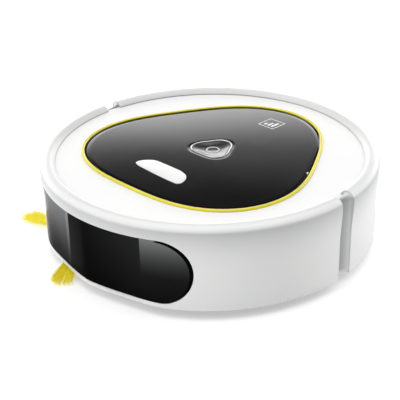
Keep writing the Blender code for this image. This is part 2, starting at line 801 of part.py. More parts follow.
# ---------------------------------------------------------------- main brush
CORE_SECTION = [  # (radius, x)
    (3, -94.5), (3, -86.4), (7, -85.5), (7, 85.5), (3, 86.4), (3, 97.0)
]
FINS = 6
FIN_OUTLINE = (  # (degrees from the fin's middle, radius)
    (-16.0, 9.8), (-5.0, BRUSH_RADIUS), (5.0, BRUSH_RADIUS), (16.0, 9.8)
)
FIN_HALF_LENGTH, FIN_STATIONS = 84.0, 8
FIN_TWIST = 60.0  # degrees from the middle to either end
SLEEVE_BORE = 7.9
GEAR_X = (91.0, 95.8)


def build_bristles():
    """A sleeve with V-shaped fins, twisted the same way from the middle to each end."""
    shape = bmesh.new()

    def ring(x, twist, bore=None):
        loop = []
        for fin in range(FINS):
            for part, radius in FIN_OUTLINE:
                angle = fin * 360.0 / FINS + part + twist
                y, z = polar(bore or radius, angle, centre=(BRUSH_Y, BRUSH_Z))
                loop.append(shape.verts.new((x, y, z)))
        return loop

    outer, inner = [], []
    for k in range(FIN_STATIONS + 1):
        x = -FIN_HALF_LENGTH + 2 * FIN_HALF_LENGTH * k / FIN_STATIONS
        twist = FIN_TWIST * abs(x) / FIN_HALF_LENGTH
        outer.append(ring(x, twist))
        inner.append(ring(x, twist, SLEEVE_BORE))
    join(shape, outer)
    join(shape, inner)
    join(shape, [outer[0], inner[0]])
    join(shape, [outer[-1], inner[-1]])
    add("main_brush_bristles", shape, YELLOW, "main_brush")


def build_main_brush():
    add("main_brush_core", lathe(CORE_SECTION, BRUSH, "X", 16), DARK, "main_brush")
    build_bristles()


def build_brush_housing():
    guard_outline = rounded((-96, 96), about(BRUSH_Y, 28), 6)
    guard = add("brush_guard", prism(guard_outline, 7.9, 9.2), GREY)
    cut(guard, prism(rounded((-86, 86), about(BRUSH_Y, 19), 4), 5, 12))

    def arch(radius, foot_half, foot):
        curve = arc(BRUSH_Y, BRUSH_Z, radius, 0, 180, 12)
        return [(BRUSH_Y + foot_half, foot)] + curve + [(BRUSH_Y - foot_half, foot)]

    shape = prism(arch(23.5, 23.5, 12.3), -90, 90, axis="X")
    housing = add("brush_housing", shape, DARK)
    cut(housing, prism(arch(21.4, 21.2, 5.0), -87.4, 87.4, axis="X"))
    cut(housing, rod(4.0, -99, 99, BRUSH, "X", 16))
    cut(housing, box((-36, 36), about(BRUSH_Y, 8), (36, 48)))


def gear(teeth, centre, turn):
    """A spur gear with thin straight-sided teeth, so that it never binds."""
    pitch_radius = TOOTH_MODULE * teeth / 2
    root, tip = pitch_radius - 1.4, pitch_radius + 1.0
    outline = [
        polar(radius, turn + (k + part) * 360.0 / teeth, centre=centre[1:])
        for k in range(teeth)
        for part, radius in ((-0.30, root), (-0.13, tip), (0.13, tip), (0.30, root))
    ]
    return prism(outline, *GEAR_X, axis="X")


def build_brush_drive():
    shape = gear(GEAR_TEETH, BRUSH, PINION_ANGLE)
    wheel = add("brush_gear", shape, GREY, "main_brush")
    cut(wheel, rod(3.4, GEAR_X[0] - 5, GEAR_X[1] + 5, BRUSH, "X", 16), "main_brush")
    # half a tooth round, so that a gap faces the gear's tooth
    turn = 180.0 + PINION_ANGLE + 180.0 / PINION_TEETH
    pinion = add("brush_pinion", gear(PINION_TEETH, PINION, turn), SILVER, "pinion")
    fuse(pinion, rod(1.5, 95.0, 106.0, PINION, "X"), "pinion")
    motor_section = [(7.5, 97.6), (7.5, 122.0), (4.0, 123.0)]  # (radius, x)
    motor = add("brush_motor", lathe(motor_section, PINION, "X", 20), STEEL)
    cut(motor, rod(1.9, 90.0, 107.0, PINION, "X"))


# ---------------------------------------------------------------- side brush
SIDE_ARM_ANGLES = (185.0, 305.0, 65.0)
SIDE_HUB_SECTION = [  # (radius, height)
    (10.5, 11.8), (12.0, 12.6), (12.0, 15.0), (10.5, 16.2), (3.0, 16.4), (3.0, 25.0)
]
TUFT_STATIONS = (  # (distance from the axis, middle height, width, thickness)
    (8.0, 10.7, 3.2, 1.2),
    (12.5, 9.8, 3.2, 1.5),
    (16.5, 8.1, 3.2, 1.6),
    (28.0, 6.8, 3.4, 1.8),
    (46.0, 5.4, 5.4, 2.2),
    (64.0, 4.2, 10.0, 2.6),
    (78.0, 3.2, 14.5, 2.6),
    (88.0, 2.4, 16.0, 1.8),
)


def tuft(angle):
    shape = bmesh.new()
    loops = []
    for reach, middle, width, thick in TUFT_STATIONS:
        corners = band(-width / 2, width / 2, -thick / 2, thick / 2)
        loops.append([
            shape.verts.new((*polar(reach, angle, across, SIDE_BRUSH), middle + up))
            for across, up in corners
        ])
    join(shape, loops)
    cap(shape, loops)
    return shape


def build_side_brush():
    shape = lathe(SIDE_HUB_SECTION, SIDE_AXIS, segs=20)
    hub = add("side_brush_hub", shape, DARK, "side_brush")
    cut(hub, rod(1.8, 8, 20.5, SIDE_AXIS), "side_brush")
    ring = lathe(band(2.2, 11.5, 9.9, 11.5), SIDE_AXIS, segs=18, closed=True)
    bristles = add("side_brush_bristles", ring, YELLOW, "side_brush")
    for angle in SIDE_ARM_ANGLES:
        fuse(bristles, tuft(angle), "side_brush")
    # (radius, height)
    motor_section = [(15.5, 19.3), (15.5, 30.0), (12.0, 31.0), (12.0, 42.0)]
    motor = add("side_brush_motor", lathe(motor_section, SIDE_AXIS, segs=20), STEEL)
    cut(motor, rod(3.6, 15, 26, SIDE_AXIS, segs=16))
    screw_section = [(3.4, 8.4), (3.4, 9.5), (1.4, 9.5), (1.4, 19.5)]
    screw = lathe(screw_section, SIDE_AXIS, segs=12)
    add("side_brush_screw", screw, STEEL, "side_brush")


# ---------------------------------------------------------------- battery
def build_battery():
    add("battery_pack", prism(battery_outline(-4, 3), 13.2, 35.0), BLUE)
    add("battery_door", prism(battery_outline(0, 4), 9.6, 12.0), DARK)


# ---------------------------------------------------------------- dust bin and filter
AIR_Z = (54, 73)  # heights of the openings between the bin and the filter
PLEATS = 12


def bin_outline(shrink):
    wide, narrow = 60 - shrink, 40 - shrink  # half widths at the front and the rear
    front, rear = -12 + shrink, 88 - shrink
    half = [
        (wide - 6, front),
        (wide, front + 6),
        (wide, 44),
        (narrow + 3, rear - 6),
        (narrow - 4, rear),
    ]
    other = [(-x, y) for x, y in reversed(half)]
    # starts at the front corner on the right
    return other[-1:] + half + other[:-1]


def build_dust_bin():
    dust_bin = add("dust_bin", prism(bin_outline(0), 46.0, 78.0), CLEAR)
    cut(dust_bin, prism(bin_outline(2.0), 48.0, 90.0))
    cut(dust_bin, box((-34, 34), (35, 49), (40, 55)))
    cut(dust_bin, box((-24, 24), (80, 95), AIR_Z))
    add("dust_bin_lid", prism(bin_outline(0.5), 78.3, 80.3), GREY)
    grip = add("bin_grip", prism(rounded((-24, 24), (18, 34), 5), 80.6, 83.8), GREY)
    cut(grip, prism(rounded((-19, 19), (22, 30), 3), 79, 86))


def build_filter():
    frame = add("filter_frame", box((-30, 30), (89.5, 96.5), (50, 77)), GREY)
    cut(frame, box((-26, 26), (85, 99), AIR_Z))
    folds, width, thick = 2 * PLEATS, 51.0, 1.0
    zigzag = [
        (-width / 2 + width * k / folds, 90.6 if k % 2 else 94.6) for k in range(folds + 1)
    ]
    outline = zigzag + [(x, y + thick) for x, y in reversed(zigzag)]
    add("filter_pleats", prism(outline, 54.4, 72.6), PAPER, smooth=False)


# ---------------------------------------------------------------- fan
# Sections as (radius, height).
FAN_HOUSING_SECTION = [
    (29.0, 30.0), (29.0, 82.0), (10.0, 82.0), (10.0, 80.0),
    (26.8, 80.0), (26.8, 32.0), (9.0, 32.0), (9.0, 30.0),
]
IMPELLER_SECTION = [
    (2, 48), (2, 59.5), (24, 60), (24, 61.5), (5.5, 63), (5.5, 76), (0, 77.5)
]
FAN_MOTOR_SECTION = [(13.0, 32.4), (15.0, 34.0), (15.0, 56.0), (12.0, 58.0)]
BLADES = 6
BLADE_ROOT, BLADE_TIP, BLADE_HALF_THICK = 4.5, 23.4, 0.7
BLADE_SWEEP = 38.0  # degrees from root to tip


def blade(start):
    inside, outside = [], []
    for j in range(4):
        radius = BLADE_ROOT + (BLADE_TIP - BLADE_ROOT) * j / 3
        angle = start - BLADE_SWEEP * j / 3
        inside.append(polar(radius, angle, BLADE_HALF_THICK, FAN))
        outside.append(polar(radius, angle, -BLADE_HALF_THICK, FAN))
    return prism(inside + outside[::-1], 60.8, 75.0)


def build_fan():
    shape = lathe(FAN_HOUSING_SECTION, FAN_AXIS, segs=28, closed=True)
    housing = add("fan_housing", shape, DARK)
    # openings in front and behind
    cut(housing, box((-18, 18), (FAN[1] - 34, FAN[1] - 18), (54, 74)))
    cut(housing, box((-18, 18), (FAN[1] + 18, FAN[1] + 34), (40, 60)))
    shape = lathe(IMPELLER_SECTION, FAN_AXIS, segs=20)
    impeller = add("fan_impeller", shape, GREY, "impeller")
    for k in range(BLADES):
        fuse(impeller, blade(360.0 * k / BLADES), "impeller")
    motor = add("fan_motor", lathe(FAN_MOTOR_SECTION, FAN_AXIS, segs=20), STEEL)
    cut(motor, rod(2.5, 46, 62, FAN_AXIS))


# ---------------------------------------------------------------- electronics
COMPONENTS = (  # (x, y, width, depth, height above the board)
    (-30, -55, 16, 16, 2.4),
    (10, -48, 22, 18, 2.4),
    (42, -66, 12, 8, 7),
    (-48, -34, 10, 14, 7),
    (34, -34, 14, 10, 5),
)
BOARD_TOP = 41.6
ROCKER_PROFILE = [  # (outwards, up) from the power switch's axis
    (-4.0, -6.5), (2.4, -8.3), (4.2, -8.0), (3.2, 0.0),
    (4.2, 8.0), (2.4, 8.3), (-4.0, 6.5),
]


def build_boards():
    shape = box((-58, 58), (-79, -22), (40, BOARD_TOP))
    board = add("main_board", shape, BOARD, smooth=False)
    for x, y, width, depth, height in COMPONENTS:
        z = (41.0, BOARD_TOP + height)
        fuse(board, box(about(x, width / 2), about(y, depth / 2), z))
    angles = spread(FRONT - 21, FRONT + 21, 7)
    strip = sweep(lambda angle: band(146.0, 148.0, 43, 68), angles)
    sensor = add("front_sensor_board", strip, BOARD)
    for off in (-16, -8, 0, 8, 16):
        fuse(sensor, radial_box(FRONT + off, (147, 151.5), (-4, 4), (51, 60)))


def build_bumper_switch(side, sign):
    spring_at = (sign * BUMPER_SPRING_X, -105.4, BUMPER_SPRING_Z)
    spring = coil(spring_at, axis="Y", radius=3.2, wire=0.6, length=9.0, turns=4)
    add("bumper_spring_" + side, spring, STEEL)
    case = box(mirrored(sign, *about(BUMPER_SWITCH_X, 4.5)), (-137, -130), (46, 56))
    switch = add("bumper_switch_" + side, case, DARK, smooth=False)
    plunger_x = mirrored(sign, *about(BUMPER_SWITCH_X, 1.5))
    fuse(switch, box(plunger_x, (-140.5, -136), (50, 53)))


def build_power_switch():
    shape = bmesh.new()
    ends = [
        [
            shape.verts.new((*polar(SWITCH_RADIUS + out, SWITCH_ANGLE, across), SWITCH_Z + up))
            for out, up in ROCKER_PROFILE
        ]
        for across in (-5.2, 5.2)
    ]
    join(shape, ends)
    cap(shape, ends)
    add("power_switch", shape, DARK, "switch", smooth=False)


# ---------------------------------------------------------------- assembly
# The cutting and joining tools are numbered in the order of these calls.
clear_scene()
add_joints()
build_bumper()
build_lens()
build_rear_shell()
build_deck()
build_trim_ring()
build_lid_panel()
build_lid_frame()
build_button_bezel()
build_button()
build_base()
build_underside_fittings()
for side_name, side_sign in SIDES:
    build_wheel_arm(side_name, side_sign)
    build_drive_wheel(side_name, side_sign)
build_caster()
build_main_brush()
build_brush_housing()
build_brush_drive()
build_side_brush()
build_battery()
build_dust_bin()
build_filter()
build_fan()
build_boards()
for side_name, side_sign in SIDES:
    build_bumper_switch(side_name, side_sign)
build_power_switch()
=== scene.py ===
"""Looks of a round robotic floor cleaner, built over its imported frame.

Lengths are in millimetres and heights are measured from the floor, which lies
GROUND below the frame's origin; mesh_object() turns them into metres. Shaders
and the stage work in metres, in the frame's own axes.
Front is -Y, the cleaner's left is +X. Angles are degrees from +X towards +Y.
"""

import math
import random

import bmesh
import bpy
import numpy as np
from mathutils import Matrix, Vector


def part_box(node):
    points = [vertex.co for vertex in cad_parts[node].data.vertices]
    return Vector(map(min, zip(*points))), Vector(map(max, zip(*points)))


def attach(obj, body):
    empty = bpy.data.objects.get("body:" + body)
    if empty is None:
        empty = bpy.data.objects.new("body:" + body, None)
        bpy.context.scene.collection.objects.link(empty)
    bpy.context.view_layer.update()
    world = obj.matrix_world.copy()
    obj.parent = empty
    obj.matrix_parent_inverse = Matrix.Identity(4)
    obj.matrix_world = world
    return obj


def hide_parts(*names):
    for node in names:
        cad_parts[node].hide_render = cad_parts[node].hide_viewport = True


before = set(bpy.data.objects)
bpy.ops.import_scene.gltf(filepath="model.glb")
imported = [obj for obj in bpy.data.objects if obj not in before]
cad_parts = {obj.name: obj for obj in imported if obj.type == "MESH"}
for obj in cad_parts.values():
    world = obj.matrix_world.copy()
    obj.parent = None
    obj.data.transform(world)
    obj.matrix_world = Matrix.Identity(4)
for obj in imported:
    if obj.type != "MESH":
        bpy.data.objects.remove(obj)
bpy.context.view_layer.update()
rng = random.Random(7)
scene = bpy.context.scene

MM = 0.001
GROUND = 9.5


def mm(point):
    """A frame point as millimetres from the floor."""
    return (point[0] / MM, point[1] / MM, point[2] / MM + GROUND)


def box_mm(node):
    """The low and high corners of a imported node."""
    return tuple(map(mm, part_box(node)))


def middle(node):
    """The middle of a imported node."""
    low, high = map(Vector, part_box(node))
    return mm((low + high) / 2)


# ---------------------------------------------------------------- main sizes
rear_low, rear_high = box_mm("rear_shell")
deck_low, deck_high = box_mm("top_deck")
R_RIM = rear_high[1]  # widest part of the shell
Z_FOOT, Z_TOP = rear_low[2], rear_high[2]
R_DECK, Z_DECK = deck_high[0], deck_high[2]
R_WALL = R_RIM - 1.7  # shell wall below the rim, outside and inside
R_WALL_IN = R_WALL - 3.0
R_LIP = R_RIM - 15.5  # inner edge of the rim
FRONT = 270.0  # the angle of the front

# Front window: an upright-sided slot with round ends, bent round the wall.
WINDOW_HALF = 39.4  # degrees from the front to either tip
WINDOW_LOW, WINDOW_HIGH = 14.4, 80.8
WINDOW_MID = (WINDOW_LOW + WINDOW_HIGH) / 2
WINDOW_RISE = (WINDOW_HIGH - WINDOW_LOW) / 2
# along the wall, from the front to the middle of a round end
WINDOW_CENTRE = math.radians(WINDOW_HALF) * R_WALL - WINDOW_RISE

GROOVE_END = 6.1  # degrees behind the X axis where the side grooves end
RING_R, RING_WAVE, RING_W = 121.0, 10.65, 4.0  # the three-cornered trim ring
LID_EDGE_Z, LID_DOME = 91.3, 1.7


# ---------------------------------------------------------------- node helpers
class Graph:
    """Adds nodes to a tree in few words; all but new() give back an output."""

    def __init__(self, tree):
        self.tree = tree
        tree.nodes.clear()

    def link(self, source, socket):
        self.tree.links.new(source, socket)

    def put(self, socket, value):
        """Link an output to the socket, or set it to a plain value."""
        if isinstance(value, bpy.types.NodeSocket):
            self.link(value, socket)
            return
        if socket.type == "RGBA" and len(value) == 3:
            value = (*value, 1.0)
        socket.default_value = value

    def new(self, kind, inputs=None, **settings):
        node = self.tree.nodes.new("ShaderNode" + kind)
        for key, value in settings.items():
            setattr(node, key, value)
        for key, value in (inputs or {}).items():
            self.put(node.inputs[key], value)
        return node

    def math(self, operation, first, second=0.0):
        return self.new("Math", {0: first, 1: second}, operation=operation).outputs[0]

    def plus(self, first, second):
        return self.math("ADD", first, second)

    def minus(self, first, second):
        return self.math("SUBTRACT", first, second)

    def times(self, first, second):
        return self.math("MULTIPLY", first, second)

    def length(self, x, y):
        return self.math("SQRT", self.plus(self.times(x, x), self.times(y, y)))

    def along(self, x, y, direction):
        """How far (x, y) reaches along a direction."""
        return self.plus(self.times(x, direction[0]), self.times(y, direction[1]))

    def ramp(self, value, over=(0.3, 0.7), to=(0.0, 1.0), smooth=False):
        """Carry the value from the range `over` to the range `to`, clamped."""
        inputs = {
            "Value": value,
            "From Min": over[0],
            "From Max": over[1],
            "To Min": to[0],
            "To Max": to[1],
        }
        kind = "SMOOTHSTEP" if smooth else "LINEAR"
        return self.new("MapRange", inputs, interpolation_type=kind).outputs[0]

    def split(self, vector):
        return self.new("SeparateXYZ", {0: vector}).outputs


LOOK = {}


class Material(Graph):
    """A Principled material in object coordinates, kept in LOOK by its name."""

    SOCKETS = {
        "colour": "Base Color",
        "rough": "Roughness",
        "metallic": "Metallic",
        "normal": "Normal",
        "coat": "Coat Weight",
        "coat_rough": "Coat Roughness",
        "specular": "Specular IOR Level",
        "ior": "IOR",
        "subsurface": "Subsurface Weight",
        "subsurface_scale": "Subsurface Scale",
        "sheen": "Sheen Weight",
        "transmission": "Transmission Weight",
        "emission": "Emission Color",
        "glow": "Emission Strength",
    }

    def __init__(self, name):
        LOOK[name] = bpy.data.materials.new(name)
        LOOK[name].use_nodes = True
        super().__init__(LOOK[name].node_tree)
        self.output = self.new("OutputMaterial")
        self.shader = self.new("BsdfPrincipled")
        self.link(self.shader.outputs[0], self.output.inputs["Surface"])
        self.coord = self.new("TexCoord").outputs["Object"]

    def scaled(self, scale):
        return self.new("Mapping", {"Vector": self.coord, "Scale": scale}).outputs[0]

    def noise(self, scale, detail=4.0, rough=0.5, vector=None, distortion=0.0):
        inputs = {
            "Vector": vector or self.coord,
            "Scale": scale,
            "Detail": detail,
            "Roughness": rough,
            "Distortion": distortion,
        }
        return self.new("TexNoise", inputs).outputs["Fac"]

    def patchy(self, over=(0.3, 0.7), to=(0.0, 1.0), **noise):
        """Noise carried from one range to another."""
        return self.ramp(self.noise(**noise), over, to)

    def voronoi(self, scale, feature, vector=None):
        inputs = {"Vector": vector or self.coord, "Scale": scale}
        return self.new("TexVoronoi", inputs, feature=feature).outputs["Distance"]

    def wave(self, scale, **settings):
        inputs = {"Vector": self.coord, "Scale": scale, "Distortion": 0.0}
        return self.new("TexWave", inputs, **settings).outputs["Fac"]

    def mix(self, amount, start, end):
        inputs = {0: amount, 6: start, 7: end}
        return self.new("Mix", inputs, data_type="RGBA").outputs[2]

    def xyz(self):
        return self.split(self.coord)

    def bump(self, height, strength, distance, under=None):
        inputs = {"Strength": strength, "Distance": distance, "Height": height}
        if under is not None:
            inputs["Normal"] = under
        return self.new("Bump", inputs).outputs[0]

    def edges(self, over):
        """Rises on outward edges."""
        return self.ramp(self.new("NewGeometry").outputs["Pointiness"], over)

    def finish(self, **values):
        for key, value in values.items():
            self.put(self.shader.inputs[self.SOCKETS[key]], value)


# ---------------------------------------------------------------- materials
def moulded(name, colour, rough, vary=0.03, grain=0.0, coat=0.0, subsurface=0.0, wear=None):
    """Moulded plastic: flow in the colour, uneven gloss, fine grain, worn edges."""
    mat = Material(name)
    dark = tuple(part * (1 - vary) for part in colour)
    light = tuple(min(1.0, part * (1 + vary)) for part in colour)
    speck = tuple(min(1.0, part * 1.15 + 0.01) for part in colour)
    tint = mat.mix(mat.patchy(scale=14.0, detail=3.0), dark, light)
    specks = mat.patchy(scale=900.0, detail=2.0, over=(0.35, 0.65), to=(0.0, vary))
    tint = mat.mix(specks, tint, speck)
    if wear:
        tint = mat.mix(mat.times(mat.edges(over=(0.52, 0.62)), 0.5), tint, wear)
    gloss = (rough * 0.85, min(1.0, rough * 1.2))
    height = mat.noise(scale=1300.0 if grain else 160.0, detail=2.0)
    mat.finish(
        colour=tint,
        rough=mat.patchy(scale=45.0, detail=5.0, rough=0.6, over=(0.25, 0.75), to=gloss),
        normal=mat.bump(height, strength=grain or 0.02, distance=0.0001),
        coat=coat,
        coat_rough=0.08,
        specular=0.5,
    )
    if subsurface:
        mat.finish(subsurface=subsurface, subsurface_scale=0.002)


def metal(name, colour, rough, relief=0.05, stretch=(40.0, 40.0, 40.0)):
    """Metal with fine brush lines, uneven polish and small scratches."""
    mat = Material(name)
    lines = mat.noise(scale=60.0, detail=6.0, rough=0.7, vector=mat.scaled(stretch))
    scratch = mat.voronoi(scale=260.0, feature="DISTANCE_TO_EDGE")
    scratch = mat.ramp(scratch, over=(0.0, 0.03), to=(1.0, 0.0))
    dull = tuple(part * 0.86 for part in colour)
    bright = tuple(min(1.0, part * 1.25) for part in colour)
    tint = mat.mix(mat.patchy(scale=30.0), dull, colour)
    mat.finish(
        colour=mat.mix(mat.times(scratch, 0.05), tint, bright),
        rough=mat.ramp(lines, to=(rough * 0.75, rough * 1.35)),
        metallic=1.0,
        normal=mat.bump(lines, strength=relief, distance=0.00005),
    )


def dusty_white(mat, dark, light, dust):
    """White with a faint flow and a little settled dust."""
    colour = mat.mix(mat.patchy(scale=9.0, detail=3.0), dark, light)
    amount = mat.patchy(scale=420.0, detail=6.0, rough=0.7, over=(0.62, 0.78), to=(0.0, 0.05))
    return mat.mix(amount, colour, dust)


def white_shell():
    mat = Material("white_shell")
    colour = dusty_white(mat, (0.80, 0.80, 0.805), (0.835, 0.835, 0.83), dust=(0.62, 0.61, 0.58))
    scuff = mat.times(
        mat.patchy(scale=75.0, detail=6.0, rough=0.75, distortion=0.6, over=(0.58, 0.72)),
        mat.edges(over=(0.51, 0.58)),
    )
    colour = mat.mix(mat.times(scuff, 0.12), colour, (0.60, 0.60, 0.59))
    x, y, z = mat.xyz()
    # painted shade under the rim: the wall darkens upwards and clears at the rim's shoulder
    rim_shade = mat.math("POWER", mat.ramp(z, over=(0.035, 0.0800)), 2.4)
    rim_shade = mat.times(rim_shade, mat.ramp(z, over=(0.0803, 0.0832), to=(1.0, 0.0), smooth=True))
    depth = mat.patchy(scale=11.0, detail=3.0, over=(0.2, 0.8), to=(0.33, 0.41))
    colour = mat.mix(mat.times(rim_shade, depth), colour, (0.18, 0.19, 0.20))
    # painted shade in the grooves beside the bumper, darker inwards
    radius = mat.length(x, y)
    groove = mat.times(
        mat.ramp(radius, over=(0.1606, 0.1662), to=(0.78, 0.0)),
        mat.ramp(z, over=(0.079, 0.0815), to=(1.0, 0.25)),
    )
    groove = mat.times(groove, mat.ramp(z, over=(0.001, 0.006)))
    colour = mat.mix(groove, colour, (0.10, 0.105, 0.11))
    # painted shade: a soft darkening on the left side, a little to the front, where the wall faces
    # the sky's dim side
    reach = mat.along(x, y, direction=(0.9135, -0.4067))
    facing = mat.math("DIVIDE", reach, mat.math("MAXIMUM", radius, 0.01))
    facing_shade = mat.math("POWER", mat.math("MAXIMUM", facing, 0.0), 14.0)
    facing_shade = mat.times(facing_shade, mat.ramp(z, over=(0.079, 0.083), to=(0.16, 0.0)))
    ripple = mat.bump(mat.noise(scale=60.0, detail=2.0), strength=0.03, distance=0.0001)
    grain = mat.noise(scale=620.0, detail=3.0)
    mat.finish(
        colour=mat.mix(facing_shade, colour, (0.10, 0.105, 0.115)),
        rough=mat.patchy(scale=38.0, detail=6.0, rough=0.65, over=(0.25, 0.75), to=(0.26, 0.40)),
        normal=mat.bump(grain, strength=0.02, distance=0.00008, under=ripple),
        coat=0.15,
        coat_rough=0.18,
        specular=0.42,
        subsurface=0.04,
        subsurface_scale=0.002,
    )


def deck_white():
    """The deck's matt-satin top with faint turned rings."""
    mat = Material("deck_white")
    rings = mat.wave(scale=110.0, wave_type="RINGS", rings_direction="Z")
    grain = mat.noise(scale=900.0, detail=3.0)
    grain = mat.bump(grain, strength=0.06, distance=0.00008)
    mat.finish(
        colour=dusty_white(mat, (0.81, 0.81, 0.815), (0.84, 0.84, 0.835), dust=(0.64, 0.63, 0.60)),
        rough=mat.patchy(scale=38.0, detail=6.0, rough=0.65, over=(0.25, 0.75), to=(0.34, 0.46)),
        normal=mat.bump(rings, strength=0.05, distance=0.00008, under=grain),
        specular=0.4,
    )


def lid_gloss():
    """Piano-black lid: deep gloss with hair scratches, smears and settled dust."""
    mat = Material("lid_gloss")
    smear = mat.patchy(scale=16.0, detail=5.0, rough=0.6, distortion=0.8, to=(0.07, 0.12))
    hair = mat.patchy(
        scale=50.0,
        detail=8.0,
        rough=0.8,
        vector=mat.scaled((1.0, 34.0, 1.0)),
        distortion=1.5,
        over=(0.66, 0.72),
    )
    dust = mat.patchy(scale=1500.0, detail=3.0, rough=0.8, over=(0.70, 0.80))
    mat.finish(
        colour=mat.mix(mat.times(dust, 0.05), (0.0045, 0.0045, 0.005), (0.35, 0.34, 0.33)),
        rough=mat.plus(smear, mat.times(hair, 0.03)),
        normal=mat.bump(mat.noise(scale=26.0, detail=2.0), strength=0.015, distance=0.0002),
        specular=0.5,
    )


def window_reflections(mat, x, y, z):
    """Painted reflections of the studio: upright bands of grey, placed by millimetres along the +X
    +Y diagonal.
    """
    across = mat.along(x, y, direction=(709.0, 705.0))
    height = mat.ramp(z, over=(0.0062, 0.0695))  # 0 at the window's foot, 1 at its top
    slanted = mat.minus(across, mat.times(height, 2.2))
    right = mat.ramp(slanted, over=(-135.2, -134.4), to=(1.0, 0.0), smooth=True)
    rising = mat.math("POWER", height, 1.7)
    right_band = mat.times(right, mat.ramp(rising, over=(0.0, 1.0), to=(0.012, 0.195)))
    # a thin painted reflection of a bright strip
    reflected_line = mat.times(mat.ramp(slanted, over=(-138.2, -137.0), smooth=True), right)
    reflected_line_grey = mat.times(reflected_line, mat.ramp(height, over=(0.1, 0.7), to=(0.006, 0.075)))
    step = mat.times(
        mat.minus(1.0, right),
        mat.ramp(slanted, over=(-122.0, -119.5), to=(1.0, 0.0), smooth=True),
    )
    step_band = mat.times(step, mat.ramp(slanted, over=(-134.0, -121.0), to=(0.011, 0.004)))
    middle_band = mat.times(
        mat.ramp(across, over=(-118.0, -64.0), to=(0.002, 0.017)),
        mat.ramp(height, over=(0.0, 1.0), to=(0.2, 1.1)),
    )
    left = mat.ramp(across, over=(-64.4, -63.2), smooth=True)
    steep = mat.math("POWER", height, 3.5)
    left_band = mat.times(left, mat.ramp(steep, over=(0.04, 1.0), to=(0.0, 0.175)))
    sides = mat.plus(right_band, reflected_line_grey)
    return mat.plus(sides, mat.plus(step_band, mat.plus(middle_band, left_band)))


def window_gloss():
    """Smoked sensor window: studio reflections painted into its colour as soft bands of grey."""
    mat = Material("window_gloss")
    x, y, z = mat.xyz()
    bands = window_reflections(mat, x, y, z)
    # painted reflection of the opening's dark edge: the bands fade to black in a crescent along the
    # upper left end
    turn = mat.math("ARCTAN2", x, mat.times(y, -1.0))
    side = mat.minus(mat.times(turn, R_WALL), WINDOW_CENTRE - 3.2)
    rise = mat.minus(mat.times(z, 1000.0), WINDOW_MID - GROUND - 1.8)
    edge = (WINDOW_RISE - 0.7, WINDOW_RISE - 0.2)
    inside = mat.ramp(mat.length(side, rise), over=edge, to=(1.0, 0.0), smooth=True)
    inside = mat.math("MAXIMUM", inside, mat.ramp(side, over=(0.0, 3.0), to=(1.0, 0.0)))
    dust = mat.patchy(scale=1400.0, detail=3.0, rough=0.8, over=(0.70, 0.80), to=(0.0, 0.012))
    amount = mat.plus(mat.times(bands, inside), mat.plus(dust, 0.001))
    mat.finish(
        colour=mat.mix(
            mat.math("MINIMUM", amount, 1.0), (0.001, 0.001, 0.0012), (0.98, 0.99, 1.0)
        ),
        rough=mat.patchy(scale=30.0, detail=5.0, rough=0.6, distortion=0.5, to=(0.06, 0.12)),
        normal=mat.bump(mat.noise(scale=22.0, detail=2.0), strength=0.01, distance=0.0002),
        specular=0.003,
    )


def yellow_trim():
    mat = Material("yellow_gloss")
    LOOK["yellow_trim"] = LOOK["yellow_gloss"]
    flow = mat.patchy(scale=20.0, detail=3.0)
    colour = mat.mix(flow, (0.78, 0.68, 0.012), (0.86, 0.76, 0.022))
    wear = mat.times(mat.edges(over=(0.52, 0.60)), 0.25)
    mat.finish(
        colour=mat.mix(wear, colour, (0.90, 0.84, 0.18)),
        rough=mat.patchy(scale=60.0, detail=5.0, rough=0.6, over=(0.25, 0.75), to=(0.24, 0.36)),
        normal=mat.bump(mat.noise(scale=700.0, detail=3.0), strength=0.03, distance=0.00008),
        coat=0.25,
        coat_rough=0.1,
        subsurface=0.06,
        subsurface_scale=0.0015,
    )


def yellow_bristle():
    """Translucent nylon filament; its faint glow is painted light that keeps the tufts bright."""
    mat = Material("yellow_bristle")
    pale = (0.93, 0.85, 0.05)
    strand = mat.noise(scale=700.0, detail=2.0, vector=mat.scaled((1.0, 1.0, 1.0)))
    mat.finish(
        colour=mat.mix(mat.ramp(strand), (0.66, 0.55, 0.005), pale),
        rough=mat.patchy(scale=200.0, detail=3.0, to=(0.35, 0.5)),
        subsurface=0.25,
        subsurface_scale=0.001,
        normal=mat.bump(strand, strength=0.08, distance=0.00005),
        specular=0.4,
        # painted light: a faint emission, though the tufts are no lamp
        emission=pale,
        glow=0.14,
    )


def smoke_button():
    """Smoked dish of the power button, metallised underneath."""
    mat = Material("smoke_button")
    x, y, _ = mat.xyz()
    y = mat.minus(y, 0.005)
    ring = mat.ramp(mat.length(x, y), over=(0.006, 0.019), smooth=True)
    turned = mat.noise(scale=14.0, detail=4.0, rough=0.6, vector=mat.scaled((1.0, 1.0, 1.0)))
    # painted shade: the half towards the front left is painted almost black
    near = mat.minus(mat.times(x, 0.712), mat.times(y, 0.702))
    near = mat.ramp(near, over=(-0.003, 0.003), to=(0.72, 0.0), smooth=True)
    colour = mat.mix(ring, (0.15, 0.15, 0.155), (0.085, 0.085, 0.09))
    colour = mat.mix(near, colour, (0.012, 0.012, 0.013))
    mat.finish(
        colour=mat.mix(mat.ramp(turned, to=(0.0, 0.06)), colour, (0.5, 0.5, 0.52)),
        rough=mat.patchy(scale=60.0, detail=5.0, over=(0.25, 0.75), to=(0.24, 0.34)),
        metallic=0.75,
        coat=0.3,
        coat_rough=0.08,
        normal=mat.bump(mat.noise(scale=500.0), strength=0.02, distance=0.00005),
    )


